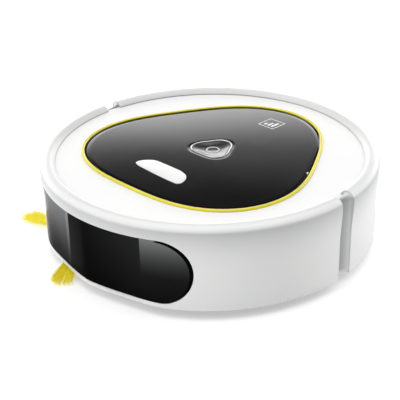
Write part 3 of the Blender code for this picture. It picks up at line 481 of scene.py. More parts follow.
def circuit_board():
    mat = Material("circuit_board")
    flat = mat.scaled((1.0, 1.0, 0.0))
    tracks = mat.voronoi(scale=160.0, feature="DISTANCE_TO_EDGE", vector=flat)
    tracks = mat.ramp(tracks, over=(0.02, 0.05), to=(1.0, 0.0))
    vias = mat.voronoi(scale=520.0, feature="F1", vector=flat)
    vias = mat.ramp(vias, over=(0.12, 0.2), to=(1.0, 0.0))
    colour = mat.mix(mat.patchy(scale=40.0), (0.010, 0.085, 0.035), (0.016, 0.12, 0.05))
    colour = mat.mix(mat.times(tracks, 0.6), colour, (0.03, 0.20, 0.08))
    mat.finish(
        colour=mat.mix(mat.times(vias, 0.5), colour, (0.6, 0.55, 0.35)),
        rough=mat.patchy(scale=90.0, to=(0.28, 0.42)),
        normal=mat.bump(tracks, strength=0.2, distance=0.0001),
        coat=0.3,
        coat_rough=0.2,
    )


def battery_wrap():
    """Blue shrink wrap drawn over a row of cells."""
    mat = Material("battery_wrap")
    cells = mat.wave(scale=27.0, wave_type="BANDS", bands_direction="X")
    folds = mat.noise(scale=90.0, detail=5.0, rough=0.6, distortion=1.0)
    bulge = mat.bump(cells, strength=0.5, distance=0.0008)
    mat.finish(
        colour=mat.mix(
            mat.ramp(cells, over=(0.0, 0.35)), (0.010, 0.030, 0.085), (0.022, 0.065, 0.17)
        ),
        rough=mat.ramp(folds, to=(0.18, 0.35)),
        normal=mat.bump(folds, strength=0.25, distance=0.0003, under=bulge),
        coat=0.5,
        coat_rough=0.15,
    )


def smoke_clear():
    mat = Material("smoked_clear")
    LOOK["smoke_clear"] = LOOK["smoked_clear"]
    haze = mat.noise(scale=60.0, detail=5.0, rough=0.6)
    mat.finish(
        colour=mat.mix(mat.ramp(haze), (0.30, 0.32, 0.34), (0.40, 0.42, 0.44)),
        rough=mat.ramp(haze, to=(0.08, 0.2)),
        transmission=0.75,
        ior=1.45,
        normal=mat.bump(mat.noise(scale=90.0), strength=0.03, distance=0.0002),
    )


def filter_paper():
    mat = Material("filter_paper")
    stretched = mat.scaled((1.0, 3.0, 1.0))
    fibres = mat.noise(scale=700.0, detail=8.0, rough=0.75, vector=stretched, distortion=1.2)
    mat.finish(
        colour=mat.mix(mat.ramp(fibres), (0.70, 0.70, 0.67), (0.86, 0.86, 0.83)),
        rough=mat.ramp(fibres, to=(0.8, 0.95)),
        normal=mat.bump(fibres, strength=0.4, distance=0.0002),
        sheen=0.2,
    )


def rubber(name, colour):
    """Dusty rubber with paler edges."""
    mat = Material(name)
    dust = mat.patchy(scale=120.0, detail=6.0, rough=0.7, over=(0.45, 0.75))
    tint = mat.mix(mat.times(dust, 0.35), colour, (0.10, 0.095, 0.085))
    wear = mat.times(mat.edges(over=(0.52, 0.62)), 0.25)
    grain = mat.noise(scale=800.0, detail=4.0, rough=0.7)
    mat.finish(
        colour=mat.mix(wear, tint, (0.14, 0.135, 0.125)),
        rough=mat.patchy(scale=80.0, detail=5.0, to=(0.62, 0.85)),
        normal=mat.bump(grain, strength=0.25, distance=0.0002),
        specular=0.35,
    )


def grained(name, colour, rough, vary, grain, wear):
    """Grained plastic whose edges wear to a grey."""
    moulded(name, colour, rough=rough, vary=vary, grain=grain, wear=(wear, wear, wear))


white_shell()
deck_white()
lid_gloss()
window_gloss()
moulded("black_frame", (0.006, 0.006, 0.007), rough=0.30, vary=0.1)
yellow_trim()
yellow_bristle()
smoke_button()
metal("silver_rim", (0.62, 0.62, 0.63), rough=0.22)
moulded("badge_white", (0.82, 0.82, 0.81), rough=0.30, vary=0.02, coat=0.3)
moulded("icon_grey", (0.76, 0.76, 0.77), rough=0.35, vary=0.04)
grained("dark_plastic", (0.030, 0.031, 0.034), rough=0.50, vary=0.12, grain=0.35, wear=0.10)
grained("mid_plastic", (0.085, 0.088, 0.092), rough=0.48, vary=0.10, grain=0.3, wear=0.18)
grained("grey_plastic", (0.30, 0.31, 0.32), rough=0.46, vary=0.06, grain=0.25, wear=0.42)
moulded("white_plastic", (0.74, 0.74, 0.74), rough=0.40, vary=0.04, subsurface=0.05)
rubber("tyre_rubber", (0.018, 0.018, 0.019))
rubber("soft_rubber", (0.05, 0.05, 0.052))
metal("steel", (0.60, 0.60, 0.61), rough=0.28, relief=0.10)
metal("contact_metal", (0.80, 0.74, 0.62), rough=0.22, relief=0.13, stretch=(40.0, 1.0, 1.0))
circuit_board()
battery_wrap()
smoke_clear()
filter_paper()


# ---------------------------------------------------------------- mesh helpers
def mesh_object(name, shape):
    """An object from a shape's millimetre points, its faces turned outwards."""
    mesh = bpy.data.meshes.new(name)
    points = [(x * MM, y * MM, (z - GROUND) * MM) for x, y, z in shape.points]
    mesh.from_pydata(points, [], [tuple(face) for face in shape.faces])
    bm = bmesh.new()
    bm.from_mesh(mesh)
    bmesh.ops.recalc_face_normals(bm, faces=bm.faces)
    bm.to_mesh(mesh)
    bm.free()
    ob = bpy.data.objects.new(name, mesh)
    scene.collection.objects.link(ob)
    return ob


def shade(ob, angle):
    """Smooth shading, sharp where faces meet above the angle."""
    ob.data.shade_smooth()
    ob.data.set_sharp_from_angle(angle=math.radians(angle))


def add_bevel(ob, width, segments=2, limit=40.0):
    bevel = ob.modifiers.new("edges", "BEVEL")
    bevel.width = width * MM
    bevel.segments = segments
    bevel.limit_method = "ANGLE"
    bevel.angle_limit = math.radians(limit)
    bevel.harden_normals = False


class Shape:
    """Collects points and faces."""

    def __init__(self):
        self.points, self.faces = [], []

    def add(self, points):
        """Add points; gives back their numbers."""
        start = len(self.points)
        self.points.extend(points)
        return list(range(start, len(self.points)))

    def strip(self, first, second, around=False):
        """Faces between two rows; repeated points make triangles."""
        count = len(first)
        for i in range(count if around else count - 1):
            j = (i + 1) % count
            quad = [first[i], first[j], second[j], second[i]]
            quad = [point for k, point in enumerate(quad) if point not in quad[:k]]
            if len(quad) > 2:
                self.faces.append(quad)

    def loft(self, rows, around=True, back=False, caps=False):
        """Strips from row to row; `back` joins the last to the first."""
        for first, second in zip(rows, rows[1:] + (rows[:1] if back else [])):
            self.strip(first, second, around)
        if caps:
            self.faces += [list(reversed(rows[0])), list(rows[-1])]

    def piece(self, name, look, body, slot=None, replaces=None, angle=35.0):
        """Make the object in its look, riding on a CAD body; the slot argument is not used."""
        ob = mesh_object(name, self)
        ob.data.materials.append(LOOK[look])
        shade(ob, angle)
        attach(ob, body)
        if replaces:
            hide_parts(replaces)
        return ob


def polar(radius, angle, z):
    angle = math.radians(angle)
    return (radius * math.cos(angle), radius * math.sin(angle), z)


def full_turn(count):
    return [360.0 * i / count for i in range(count)]


def steps_to(start, end, count):
    """Even steps after the start, up to and with the end."""
    return [start + (end - start) * i / count for i in range(1, count + 1)]


def ease(t):
    t = min(1.0, max(0.0, t))
    return t * t * (3 - 2 * t)


def ring_sweep(section, angles, closed=True):
    """An outline of (radius, height) carried round the vertical axis."""
    shape = Shape()
    rings = [shape.add([polar(r, angle, z) for r, z in section(angle)]) for angle in angles]
    shape.loft(rings, back=closed)
    if not closed:
        shape.faces += [list(rings[0]), list(reversed(rings[-1]))]
    return shape


def lathe(profile, centre=(0, 0, 0), axis="Z", segments=64, closed=False, shape=None, radius=None):
    """Turn (radius, height) points round an axis; `radius` may reshape each ring."""
    shape = shape or Shape()

    def point(r, height, k):
        angle = 2 * math.pi * k / segments
        if radius:
            r = radius(math.degrees(angle), r)
        u, v = r * math.cos(angle), r * math.sin(angle)
        place = (u, v, height) if axis == "Z" else (height, u, v)
        return tuple(c + d for c, d in zip(centre, place))

    rings = []
    for r, height in profile:
        if r == 0:
            rings.append(shape.add([point(r, height, 0)]) * segments)
        else:
            rings.append(shape.add([point(r, height, k) for k in range(segments)]))
    shape.loft(rings, back=closed)
    if not closed:
        shape.faces += [ring for ring in (rings[0], rings[-1]) if len(set(ring)) > 1]
    return shape


def prism(outline, low, high, axis="Z"):
    shape = Shape()
    ends = []
    for height in (low, high):
        if axis == "Z":
            ends.append(shape.add([(u, v, height) for u, v in outline]))
        else:
            ends.append(shape.add([(height, u, v) for u, v in outline]))
    shape.loft(ends, caps=True)
    return shape


def arc(x, y, radius, start, end, count):
    turns = [math.radians(start + (end - start) * i / count) for i in range(count + 1)]
    return [(x + radius * math.cos(turn), y + radius * math.sin(turn)) for turn in turns]


def tube(shape, path, radii, sides):
    """A round rod along a path, with a radius at each point."""
    rings = []
    across = Vector((0, 0, 1))
    for i, point in enumerate(path):
        before = Vector(path[max(0, i - 1)])
        after = Vector(path[min(len(path) - 1, i + 1)])
        forward = (after - before).normalized()
        if i == 0 and abs(forward.z) >= 0.9:
            across = Vector((1, 0, 0))
        across = (across - forward * across.dot(forward)).normalized()
        other = forward.cross(across)
        ring = []
        for k in range(sides):
            turn = 2 * math.pi * k / sides
            out = (across * math.cos(turn) + other * math.sin(turn)) * radii[i]
            ring.append(tuple(Vector(point) + out))
        rings.append(shape.add(ring))
    shape.loft(rings, caps=True)


def spline(points, per):
    """Catmull-Rom through the points, `per` steps to a span."""
    out = []
    last = len(points) - 1
    for i in range(last):
        near = (points[max(0, min(last, k))] for k in (i - 1, i, i + 1, i + 2))
        p0, p1, p2, p3 = (np.array(point, float) for point in near)
        for k in range(per):
            t = k / per
            bend = (2 * p0 - 5 * p1 + 4 * p2 - p3) * t * t
            cubic = (3 * p1 - p0 - 3 * p2 + p3) * t**3
            out.append(tuple(0.5 * ((2 * p1) + (p2 - p0) * t + bend + cubic)))
    out.append(tuple(points[-1]))
    return out


def carve(ob, *shapes):
    """Cut the shapes away and keep the result as plain mesh."""
    for k, shape in enumerate(shapes):
        tool = mesh_object(f"{ob.name}_tool_{k}", shape)
        cut = ob.modifiers.new("carve", "BOOLEAN")
        cut.operation = "DIFFERENCE"
        cut.solver = "EXACT"
        cut.object = tool
        bpy.context.view_layer.update()
        graph = bpy.context.evaluated_depsgraph_get()
        done = bpy.data.meshes.new_from_object(ob.evaluated_get(graph))
        ob.modifiers.clear()
        done.name = ob.data.name + "_c"
        ob.data = done
        bpy.data.objects.remove(tool)
    shade(ob, 30)


# ---------------------------------------------------------------- outer shell
FOOT_ROUND = 1.4  # height of the rounded foot
FOOT = [Z_FOOT + lift for lift in (0.0, 0.35, 0.8, FOOT_ROUND)]
FLAT_PEAK, FLAT_END = 14.0, 32.0  # degrees off the front: deepest, and gone
FLAT_FRONT, FLAT_MORE = 2.0, 2.2  # depth at the front, and what the peak adds
WALL_TOP = 82.0

# The rim, over its crown and down to the lip: (inset from R_RIM, height).
RIM = spline(
    [
        (R_RIM - inset, z)
        for inset, z in (
            (0.03, 84.6), (0.02, 87.4), (0.2, 89.4), (0.8, 91.4), (2.1, 93.3), (4.2, 94.9),
            (6.7, 95.8), (9.2, Z_TOP - 0.02), (11.2, 95.5), (13.2, 93.9), (14.8, 92.3),
            (15.4, 91.5),
        )
    ],
    per=3,
) + [(R_LIP, 91.2), (R_LIP + 0.3, 90.92)]
# The rim's underside, back out to the wall: (radius, height).
UNDER = [
    (R_LIP + 2.0, 90.9), (159.2, 91.0), (161.0, 92.6), (163.0, 92.2),
    (165.0, 90.0), (166.5, 86.5), (166.8, 82.0),
]


def flat_depth(angle, z):
    """How far the lower front is drawn in from the round: two soft flats."""
    off = abs((angle - FRONT + 180) % 360 - 180)
    off = math.sqrt(off * off + 1.0)
    if off > FLAT_END:
        return 0.0
    if off > FLAT_PEAK:
        fall = math.cos(math.pi * (off - FLAT_PEAK) / (FLAT_END - FLAT_PEAK))
        depth = (FLAT_FRONT + FLAT_MORE) * (0.5 + 0.5 * fall)
    else:
        depth = FLAT_FRONT + FLAT_MORE * math.sin(math.pi * off / (2 * FLAT_PEAK))
    return depth * ease((80.0 - z) / 60.0)


def wall_radius(z):
    """Outside radius below the widest part of the rim."""
    foot = max(0.0, FOOT_ROUND - (z - Z_FOOT)) / FOOT_ROUND
    return R_WALL + 1.7 * ease((z - 50.0) / 38.0) - 1.0 * foot * foot


def inner_radius(z):
    return R_WALL_IN + 0.9 * ease((z - 74.0) / 8.0)


def front_angle(along):
    """The angle of a place `along` the wall from the front, left positive."""
    return FRONT + math.degrees(along / R_WALL)


def front_point(angle, z, depth=0.0):
    """A point on the bumper's outside, or `depth` behind it."""
    return polar(wall_radius(z) - flat_depth(angle, z) - depth, angle, z)


# ---------------------------------------------------------------- bumper
FILLET = 0.7  # rounded edge of the window opening
FLAT_COLUMNS, ROUND_COLUMNS, SOLID_COLUMNS = 30, 18, 46
FILLET_STEPS = 4


def bumper_columns():
    """(kind, value, side) of each column: over the straight window, its end, the wall."""
    tip = WINDOW_CENTRE + WINDOW_RISE + FILLET
    end = math.pi / 2 * R_WALL
    columns = [("flat", WINDOW_CENTRE * i / FLAT_COLUMNS) for i in range(FLAT_COLUMNS + 1)]
    columns += [("round", value) for value in steps_to(90.0, 0.0, ROUND_COLUMNS)]
    columns += [("solid", value) for value in steps_to(tip, end, SOLID_COLUMNS)]
    mirrored = [(kind, value, -1) for kind, value in reversed(columns[1:])]
    return mirrored + [(kind, value, 1) for kind, value in columns]


def opening(kind, value, side, grow):
    """A column's place along the wall and the grown window's half height there."""
    if kind == "flat":
        return side * value, WINDOW_RISE + grow
    if kind == "round":
        turn = math.radians(value)
        reach = WINDOW_RISE + grow
        return side * (WINDOW_CENTRE + reach * math.cos(turn)), reach * math.sin(turn)
    return side * value, 0.0


def bumper_column(shape, kind, value, side):
    """Add one column of points, outside and inside, split where the window crosses it."""
    unsplit = kind == "solid" or (kind == "round" and abs(value) < 1e-6)
    along, rise = opening(kind, value, side, FILLET)
    angle = front_angle(along)
    low, high = WINDOW_MID - rise, WINDOW_MID + rise
    lower = shape.add([front_point(angle, z) for z in FOOT + steps_to(FOOT[-1], low, 12)])
    count = 28
    crowded = [1 - (1 - i / count) ** 1.6 for i in range(1 if unsplit else 0, count + 1)]
    upper = shape.add([front_point(angle, high + (WALL_TOP - high) * part) for part in crowded])
    if unsplit:
        upper = [lower[-1]] + upper
    rim = [polar(r - flat_depth(angle, z), angle, z) for r, z in RIM]
    rim = shape.add(rim + [polar(r, angle, z) for r, z in UNDER])

    along, rise = opening(kind, value, side, 0.0)
    angle = front_angle(along)
    low, high = WINDOW_MID - rise, WINDOW_MID + rise

    def inside(heights):
        return shape.add([polar(inner_radius(z) - flat_depth(angle, z), angle, z) for z in heights])

    inner_upper = inside([81.0] + steps_to(81.0, high, 8))
    inner_lower = inside(([] if unsplit else [low]) + steps_to(low, Z_FOOT, 8))
    if unsplit:
        inner_lower = [inner_upper[-1]] + inner_lower
    column = {
        "lower": lower,
        "upper": upper,
        "rim": rim,
        "inner_upper": inner_upper,
        "inner_lower": inner_lower,
    }
    if kind == "solid":
        return column

    # rounded edge and wall of the opening, below and above
    below, above = [lower[-1]], [upper[0]]
    for k in range(1, FILLET_STEPS + 1):
        turn = math.radians(90.0 * k / FILLET_STEPS)
        along, rise = opening(kind, value, side, FILLET * (1 - math.sin(turn)))
        depth = FILLET * (1 - math.cos(turn))
        angle_k = front_angle(along)
        added = shape.add([front_point(angle_k, WINDOW_MID - rise, depth)])
        below += added
        if not unsplit:
            added = shape.add([front_point(angle_k, WINDOW_MID + rise, depth)])
        above += added
    column["below"] = below + [inner_lower[0]]
    column["above"] = above + [inner_upper[-1]]
    return column


def bumper_piece():
    shape = Shape()
    columns = [bumper_column(shape, *column) for column in bumper_columns()]
    rows = ("lower", "upper", "rim", "inner_upper", "inner_lower")
    joins = (("upper", "rim"), ("rim", "inner_upper"), ("inner_lower", "lower"))
    for first, second in zip(columns, columns[1:]):
        for row in rows:
            shape.strip(first[row], second[row])
        for start, end in joins:
            pairs = [[column[start][-1], column[end][0]] for column in (first, second)]
            shape.strip(*pairs)
        if "below" in first and "below" in second:
            shape.strip(first["below"], second["below"])
            shape.strip(first["above"], second["above"])
    for end in (columns[0], columns[-1]):
        lower, upper, rim, inner_upper, inner_lower = (end[row] for row in rows)
        shape.faces.append(lower + upper[1:] + rim + inner_upper + inner_lower[1:])
    ob = shape.piece("bumper_skin", "white_shell", "bumper", replaces="bumper_shell", angle=40)
    add_bevel(ob, 0.45, segments=3, limit=60.0)


bumper_piece()


# ---------------------------------------------------------------- window
def window_outline(grow):
    """(place along the wall, half height) from the left tip to the right tip."""
    reach = WINDOW_RISE + grow
    turns = [math.radians(turn) for turn in np.linspace(0, 90, ROUND_COLUMNS + 1)]
    points = [(WINDOW_CENTRE + reach * math.cos(turn), reach * math.sin(turn)) for turn in turns]
    for i in range(1, 2 * FLAT_COLUMNS):
        points.append((WINDOW_CENTRE * (1 - 2 * i / (2 * FLAT_COLUMNS)), reach))
    points += [(-WINDOW_CENTRE - reach * math.sin(turn), reach * math.cos(turn)) for turn in turns]
    return points


def window_glass():
    """A curved sheet set just inside the opening."""
    shape = Shape()
    rows = 16
    sheets = {0.95: [], 2.75: []}  # columns of the front and back, by depth
    for along, rise in window_outline(-0.28):
        angle = front_angle(along)
        for depth, columns in sheets.items():
            if rise > 1e-6:
                heights = [WINDOW_MID - rise + 2 * rise * k / rows for k in range(rows + 1)]
                columns.append(shape.add([front_point(angle, z, depth) for z in heights]))
            else:
                columns.append(shape.add([front_point(angle, WINDOW_MID, depth)]) * (rows + 1))
    for columns in sheets.values():
        shape.loft(columns, around=False)
    for end in (0, -1):
        shape.strip(*[[column[end] for column in columns] for columns in sheets.values()])
    shape.piece(
        "window_glass", "window_gloss", "bumper", "black_glass", replaces="window_lens", angle=50
    )


def window_lining():
    """The black lining of the opening, from just under the white edge down to the glass; partly a
    dark reveal, partly painted shade standing in for the reveal's shadow.
    """
    shape = Shape()
    rings = []
    for grow, depth in ((-0.02, 0.8), (-0.10, 0.68), (-0.26, 0.72), (-0.26, 2.9), (-0.02, 2.9)):
        upper = window_outline(grow)
        outline = upper + [(along, -rise) for along, rise in reversed(upper[1:-1])]
        ring = [front_point(front_angle(along), WINDOW_MID + rise, depth) for along, rise in outline]
        rings.append(shape.add(ring))
    shape.loft(rings, back=True)
    shape.piece("window_lining", "black_frame", "bumper", "black_glass", angle=40)


window_glass()
window_lining()


# ---------------------------------------------------------------- rear shell
R_FLOOR_IN = 159.5  # inside of the groove floors
R_FLOOR = 160.6  # their outside at the bumper's end


def rear_section(_angle):
    heights = FOOT + steps_to(FOOT[-1], 70.0, 8) + steps_to(70.0, WALL_TOP, 14)
    outer = [(wall_radius(z), z) for z in heights]
    inner = [(inner_radius(z), z) for z in (81.0, 78.0, 74.0, 60.0, 45.0, 30.0, 18.0)]
    return outer + RIM + UNDER + inner + [(R_WALL_IN, 12.2), (159.9, 12.2), (159.9, Z_FOOT)]


def groove_section(angle):
    """The shallow groove beside the bumper: its floor turns up into the wall in a hollow."""
    part = min(1.0, max(0.0, (angle + 0.5) / (GROOVE_END + 0.5)))
    lift = 1.0 - math.sqrt(max(0.0, 1.0 - part * part))
    radius, top = R_FLOOR + 7.1 * lift, 90.3 + 4.9 * lift
    low = 12.8 if angle < 1.95 else Z_FOOT + 0.1
    rows = [(R_FLOOR_IN, low), (radius - 0.5, low), (radius - 0.1, low + 0.7), (radius, low + 1.6)]
    rows += [(radius, 16.0 + 8.0 * i) for i in range(9)]
    for turn in map(math.radians, range(0, 91, 10)):
        inset = (0.6 + 2.8 * lift) * (1 - math.cos(turn))
        rows.append((radius - inset, top - 7.0 + 7.0 * math.sin(turn)))
    return rows + [(R_FLOOR_IN, z) for z in (top - 0.1, 80.0, 60.0, 40.0, 20.0)]


def groove_floors():
    reach = GROOVE_END - 0.04 - 2.0
    left = [-1.2, -0.5, 0.5, 1.2, 1.9, 2.0]
    left += [2.0 + reach * math.sin(math.radians(6 * i)) for i in range(1, 16)]
    right = [180.0 - angle for angle in reversed(left)]
    for side, angles, section in (
        ("left", left, groove_section),
        ("right", right, lambda angle: groove_section(180.0 - angle)),
    ):
        floor = ring_sweep(section, angles, closed=False)
        floor.piece("slot_floor_" + side, "white_shell", "chassis", angle=40)


def wall_cut(shape, outline, angle):
    """Add a block that pierces the wall, from an outline of (sideways, height)."""
    cos, sin = math.cos(math.radians(angle)), math.sin(math.radians(angle))
    ends = [
        shape.add([(cos * r - sin * side, sin * r + cos * side, z) for side, z in outline])
        for r in (150, 176)
    ]
    shape.loft(ends, caps=True)


def rear_piece():
    sweep = 180 - 2 * GROOVE_END
    angles = [GROOVE_END + sweep * i / 150 for i in range(151)]
    shell = ring_sweep(rear_section, angles, closed=False)
    ob = shell.piece("rear_skin", "white_shell", "chassis", replaces="rear_shell", angle=40)
    groove_floors()
    # nine upright slots across the back, and a square hole at the rear right
    slots = Shape()
    for k in range(-4, 5):
        outline = arc(0, 60.4, 1.55, 0, 180, 8) + arc(0, 43.6, 1.55, 180, 360, 8)
        wall_cut(slots, outline, 90 + k * 3.2)
    hole = Shape()
    corners = ((4.8, 36.8, -90), (4.8, 53.2, 0), (-4.8, 53.2, 90), (-4.8, 36.8, 180))
    outline = []
    for side, z, start in corners:
        outline += arc(side, z, 1.0, start, start + 90, 4)
    wall_cut(hole, outline, 155.0)
    carve(ob, slots, hole)
    add_bevel(ob, 0.35, limit=55.0)


rear_piece()


# ---------------------------------------------------------------- deck and trim ring
def triangle(angle, mean, wave):
    """Radius of a soft triangle with one corner to the rear."""
    return mean + wave * math.cos(3 * math.radians(angle - 90))


def ring_radius(angle):
    return triangle(angle, RING_R, RING_WAVE)


def deck_section(angle):
    """The deck's skirt reaches down deep behind the side grooves."""
    off_side = min(abs((angle + 180) % 360 - 180), abs(angle % 360 - 180))
    low = 20.0 if off_side < 17 else 82.0
    inner = ring_radius(angle) - 1.0
    rows = [(inner, Z_DECK - 2.4), (inner, Z_DECK - 0.25), (inner + 0.25, Z_DECK)]
    rows += [(r, Z_DECK) for r in steps_to(inner + 0.25, R_DECK - 1.0, 10)]
    rows += [(R_DECK - 0.3, Z_DECK - 0.3), (R_DECK, Z_DECK - 1.0)]
    rows += [(R_DECK, z) for z in steps_to(Z_DECK - 1.0, low, 6)]
    return rows + [(156.5, low), (156.5, Z_DECK - 2.5), (inner + 8, Z_DECK - 2.5)]


def deck_piece():
    skirt_ends = {16.9, 17.1, 342.9, 343.1, 162.9, 163.1, 196.9, 197.1}
    deck = ring_sweep(deck_section, sorted(set(full_turn(240)) | skirt_ends))
    deck.piece("deck_skin", "deck_white", "chassis", "white_shell", replaces="top_deck")


def hinge_lugs():
    _, y, z = middle("lid_hinge_pin")
    radius, low = 2.4, 88.2
    for side, ends in (("left", (25.0, 29.0)), ("right", (-29.0, -25.0))):
        outline = [(y - radius, low), (y - radius, z)]
        outline += arc(y, z, radius, 180, 360, 14)[1:-1]
        outline += [(y + radius, z), (y + radius, low)]
        shape = prism(outline, *ends, axis="X")
        lug = shape.piece("hinge_lug_" + side, "white_shell", "chassis", angle=30)
        carve(lug, lathe([(1.4, -35), (1.4, 35)], (0, y, z), "X", 24))
        add_bevel(lug, 0.25)


# The trim ring's section: (offset from the ring's radius, height).
TRIM = (
    (-0.1, 90.62), (0, 90.8), (-0.02, 91.4), (-0.2, 92.1), (-0.6, 92.6), (-1.1, 92.84),
    (-1.35, 92.82), (-1.45, 92.3), (-1.75, 92.3), (-1.85, 92.8), (-2.4, 92.7), (-2.85, 92.35),
    (-3.05, 91.9), (-3.05, 91.4), (-2.6, 90.8), (-2.4, 90.62),
)


def trim_piece():
    ring = ring_sweep(
        lambda angle: [(ring_radius(angle) + offset, z) for offset, z in TRIM], full_turn(300)
    )
    ring.piece("trim_skin", "yellow_trim", "chassis", replaces="trim_ring", angle=50)


deck_piece()
hinge_lugs()
trim_piece()


# ---------------------------------------------------------------- lid
BUTTON_Y = middle("button_light_ring")[1]
BADGE_Y = -63.5
# The badge's outline, seen from above: (x, y), closed on its first point.
BADGE = spline(
    [
        (-33.7, -69.2), (-34.0, -65.0), (-31.0, -59.4), (-25.5, -54.4), (-19.3, -52.5),
        (-2.5, -52.4), (11.9, -52.8), (21.5, -55.3), (26.2, -58.5), (30.0, -63.8),
        (31.6, -69.9), (30.1, -73.4), (25.4, -74.6), (8.9, -74.4), (-11.3, -73.3),
        (-28.2, -71.6), (-33.7, -69.2),
    ],
    per=4,
)[:-1]
SIGN_X, SIGN_Y, SIGN_HALF = 1.3, 93.0, 10.3


def lid_radius(angle):
    return ring_radius(angle) - RING_W - 1.0


def button_radius(angle):
    return triangle(angle, 20.5, 2.5)


def button_edge(angle, grow):
    """The button's outline, moved outwards, as seen from the lid's own middle."""
    cos, sin = math.cos(math.radians(angle)), math.sin(math.radians(angle))
    r = 21.5
    for _ in range(12):
        u, v = r * cos, r * sin - BUTTON_Y
        edge = button_radius(math.degrees(math.atan2(v, u))) + grow
        r += (edge - math.hypot(u, v)) * 0.9
    return r


def lid_top(r, edge):
    return LID_EDGE_Z + LID_DOME * (1 - (r / edge) ** 2)


def lid_section(angle):
    edge, hole = lid_radius(angle), button_edge(angle, 0.35)
    rows = [(hole, 89.3), (edge - 1.0, 89.3), (edge, 90.3), (edge, LID_EDGE_Z - 0.75)]
    rows += [(edge - 0.12, LID_EDGE_Z - 0.38), (edge - 0.4, LID_EDGE_Z - 0.1)]
    radii = [edge - 0.9] + steps_to(edge - 0.9, hole + 0.5, 26)
    rows += [(r, lid_top(r, edge)) for r in radii]
    top = lid_top(hole, edge)
    return rows + [(hole + 0.12, top - 0.12), (hole, top - 0.5)]


def lid_piece():
    shape = ring_sweep(lid_section, full_turn(240))
    lid = shape.piece("lid_skin", "lid_gloss", "lid", "black_glass", replaces="lid_panel")
    recess = [(x * 1.008, BADGE_Y + (y - BADGE_Y) * 1.025) for x, y in BADGE]
    carve(lid, prism(recess, 91.75, 96.0))


def badge_piece():
    """Blank badge, gently crowned."""
    shape = Shape()
    rings = []
    for scale, z in ((1.0, 91.9), (1.0, 92.45), (0.99, 92.62), (0.95, 92.68)):
        widen = 1 - (1 - scale) * 0.4
        ring = [(x * widen, BADGE_Y + (y - BADGE_Y) * scale, z) for x, y in BADGE]
        rings.append(shape.add(ring))
    shape.loft(rings, caps=True)
    shape.piece("badge_skin", "badge_white", "lid", "silver_rim", replaces="badge_plate", angle=50)


def on_lid(outline, lift):
    """Lay (x, y) points on the lid's dome, or `lift` above it."""
    points = []
    for x, y in outline:
        edge = lid_radius(math.degrees(math.atan2(y, x)))
        points.append((x, y, lid_top(math.hypot(x, y), edge) + lift))
    return points


def sign_square(half):
    """A square round the sign's middle, six points to a side."""
    corners = [(-half, -half), (half, -half), (half, half), (-half, half)]
    points = []
    for (x0, y0), (x1, y1) in zip(corners, corners[1:] + corners[:1]):
        for i in range(6):
            points.append((SIGN_X + x0 + (x1 - x0) * i / 6, SIGN_Y + y0 + (y1 - y0) * i / 6))
    return points


def sign_piece():
    """A plain sign near the rear corner: a square frame round three rising bars."""
    sunk, proud = -0.10, 0.04
    shape = Shape()
    outer, inner = sign_square(SIGN_HALF), sign_square(SIGN_HALF - 0.95)
    layers = ((outer, sunk), (outer, proud), (inner, proud), (inner, sunk))
    shape.loft([shape.add(on_lid(*layer)) for layer in layers], back=True)
    for k in range(3):
        x, tall = SIGN_X - 6.2 + 4.8 * k, 4.6 + 3.7 * k
        side = [(x, SIGN_Y - 6.2 + tall * i / 6) for i in range(7)]
        outline = side + [(x + 2.8, y) for _, y in reversed(side)]
        low, high = (shape.add(on_lid(outline, lift)) for lift in (sunk, proud))
        shape.strip(low, high, True)
        for i in range(6):
            shape.faces.append([high[i], high[i + 1], high[12 - i], high[13 - i]])
            shape.faces.append([low[i + 1], low[i], low[13 - i], low[12 - i]])
    shape.piece("lid_sign", "icon_grey", "lid", "white_plastic", angle=40)


def pale_spot_piece():
    """Small pale block let into the lid's edge."""
    middle_angle, low, high = 15.0, 90.2, 91.75
    shape = Shape()
    rows = []
    for k in range(9):
        angle = middle_angle - 1.1 + 2.2 * k / 8
        outer = lid_radius(angle) + 0.35
        inner = outer - (1.4 * math.sin(math.pi * k / 8) + 0.25)
        corners = ((inner, low), (outer, low), (outer, high), (inner, high))
        rows.append(shape.add([polar(r, angle, z) for r, z in corners]))
    shape.loft(rows, caps=True)
    shape.piece("lid_pale_spot", "white_plastic", "lid", angle=30)


lid_piece()
badge_piece()
sign_piece()
pale_spot_piece()

# ---------------------------------------------------------------- power button
# The bezel's section: (offset from the button's outline, height).
BEZEL = (
    (-1.7, 89.2), (0, 89.2), (0, 92.95), (-0.08, 93.35), (-0.35, 93.7),
    (-0.75, 93.86), (-1.15, 93.8), (-1.5, 93.5), (-1.7, 93.1),
)
# The dish from its middle past the light ring's channel: (radius, height).
DISH = [
    (0, 90.9), (2.0, 90.93), (4.0, 91.0), (5.1, 91.1), (5.45, 91.25), (5.6, 91.0), (5.6, 90.6),
    (7.0, 90.6), (7.0, 91.05), (7.15, 91.32),
]
R_DISH = 19.45
DISH_EDGE = [(19.1, 93.22), (19.4, 93.0), (R_DISH, 92.6), (R_DISH, 88.6), (0, 88.6)]
LIGHT_RING = [
    (5.75, 90.75), (6.85, 90.75), (6.85, 91.5), (6.65, 91.68), (5.95, 91.68), (5.75, 91.5),
]


def dish_radius(angle, r):
    """Round at the middle, the bezel's own outline at the edge."""
    t = ease(r / R_DISH)
    return r * (1 - t) + r * t * (button_radius(angle) - 2.05) / R_DISH


def button_pieces():
    bezel = ring_sweep(
        lambda angle: [(button_edge(angle, grow), z) for grow, z in BEZEL], full_turn(180)
    )
    bezel.piece("bezel_skin", "silver_rim", "lid", replaces="button_bezel", angle=50)
    centre = (0, BUTTON_Y, 0)
    start, low = DISH[-1]
    slope = [(start + (18.6 - start) * k / 14, low + 1.85 * (k / 14) ** 1.7) for k in range(1, 15)]
    dish = lathe(DISH + slope + DISH_EDGE, centre, segments=144, radius=dish_radius)
    dish.piece("button_skin", "smoke_button", "button", replaces="power_button", angle=40)
    ring = lathe(LIGHT_RING, centre, segments=72, closed=True)
    ring.piece("light_ring_skin", "white_plastic", "button", replaces="button_light_ring", angle=50)


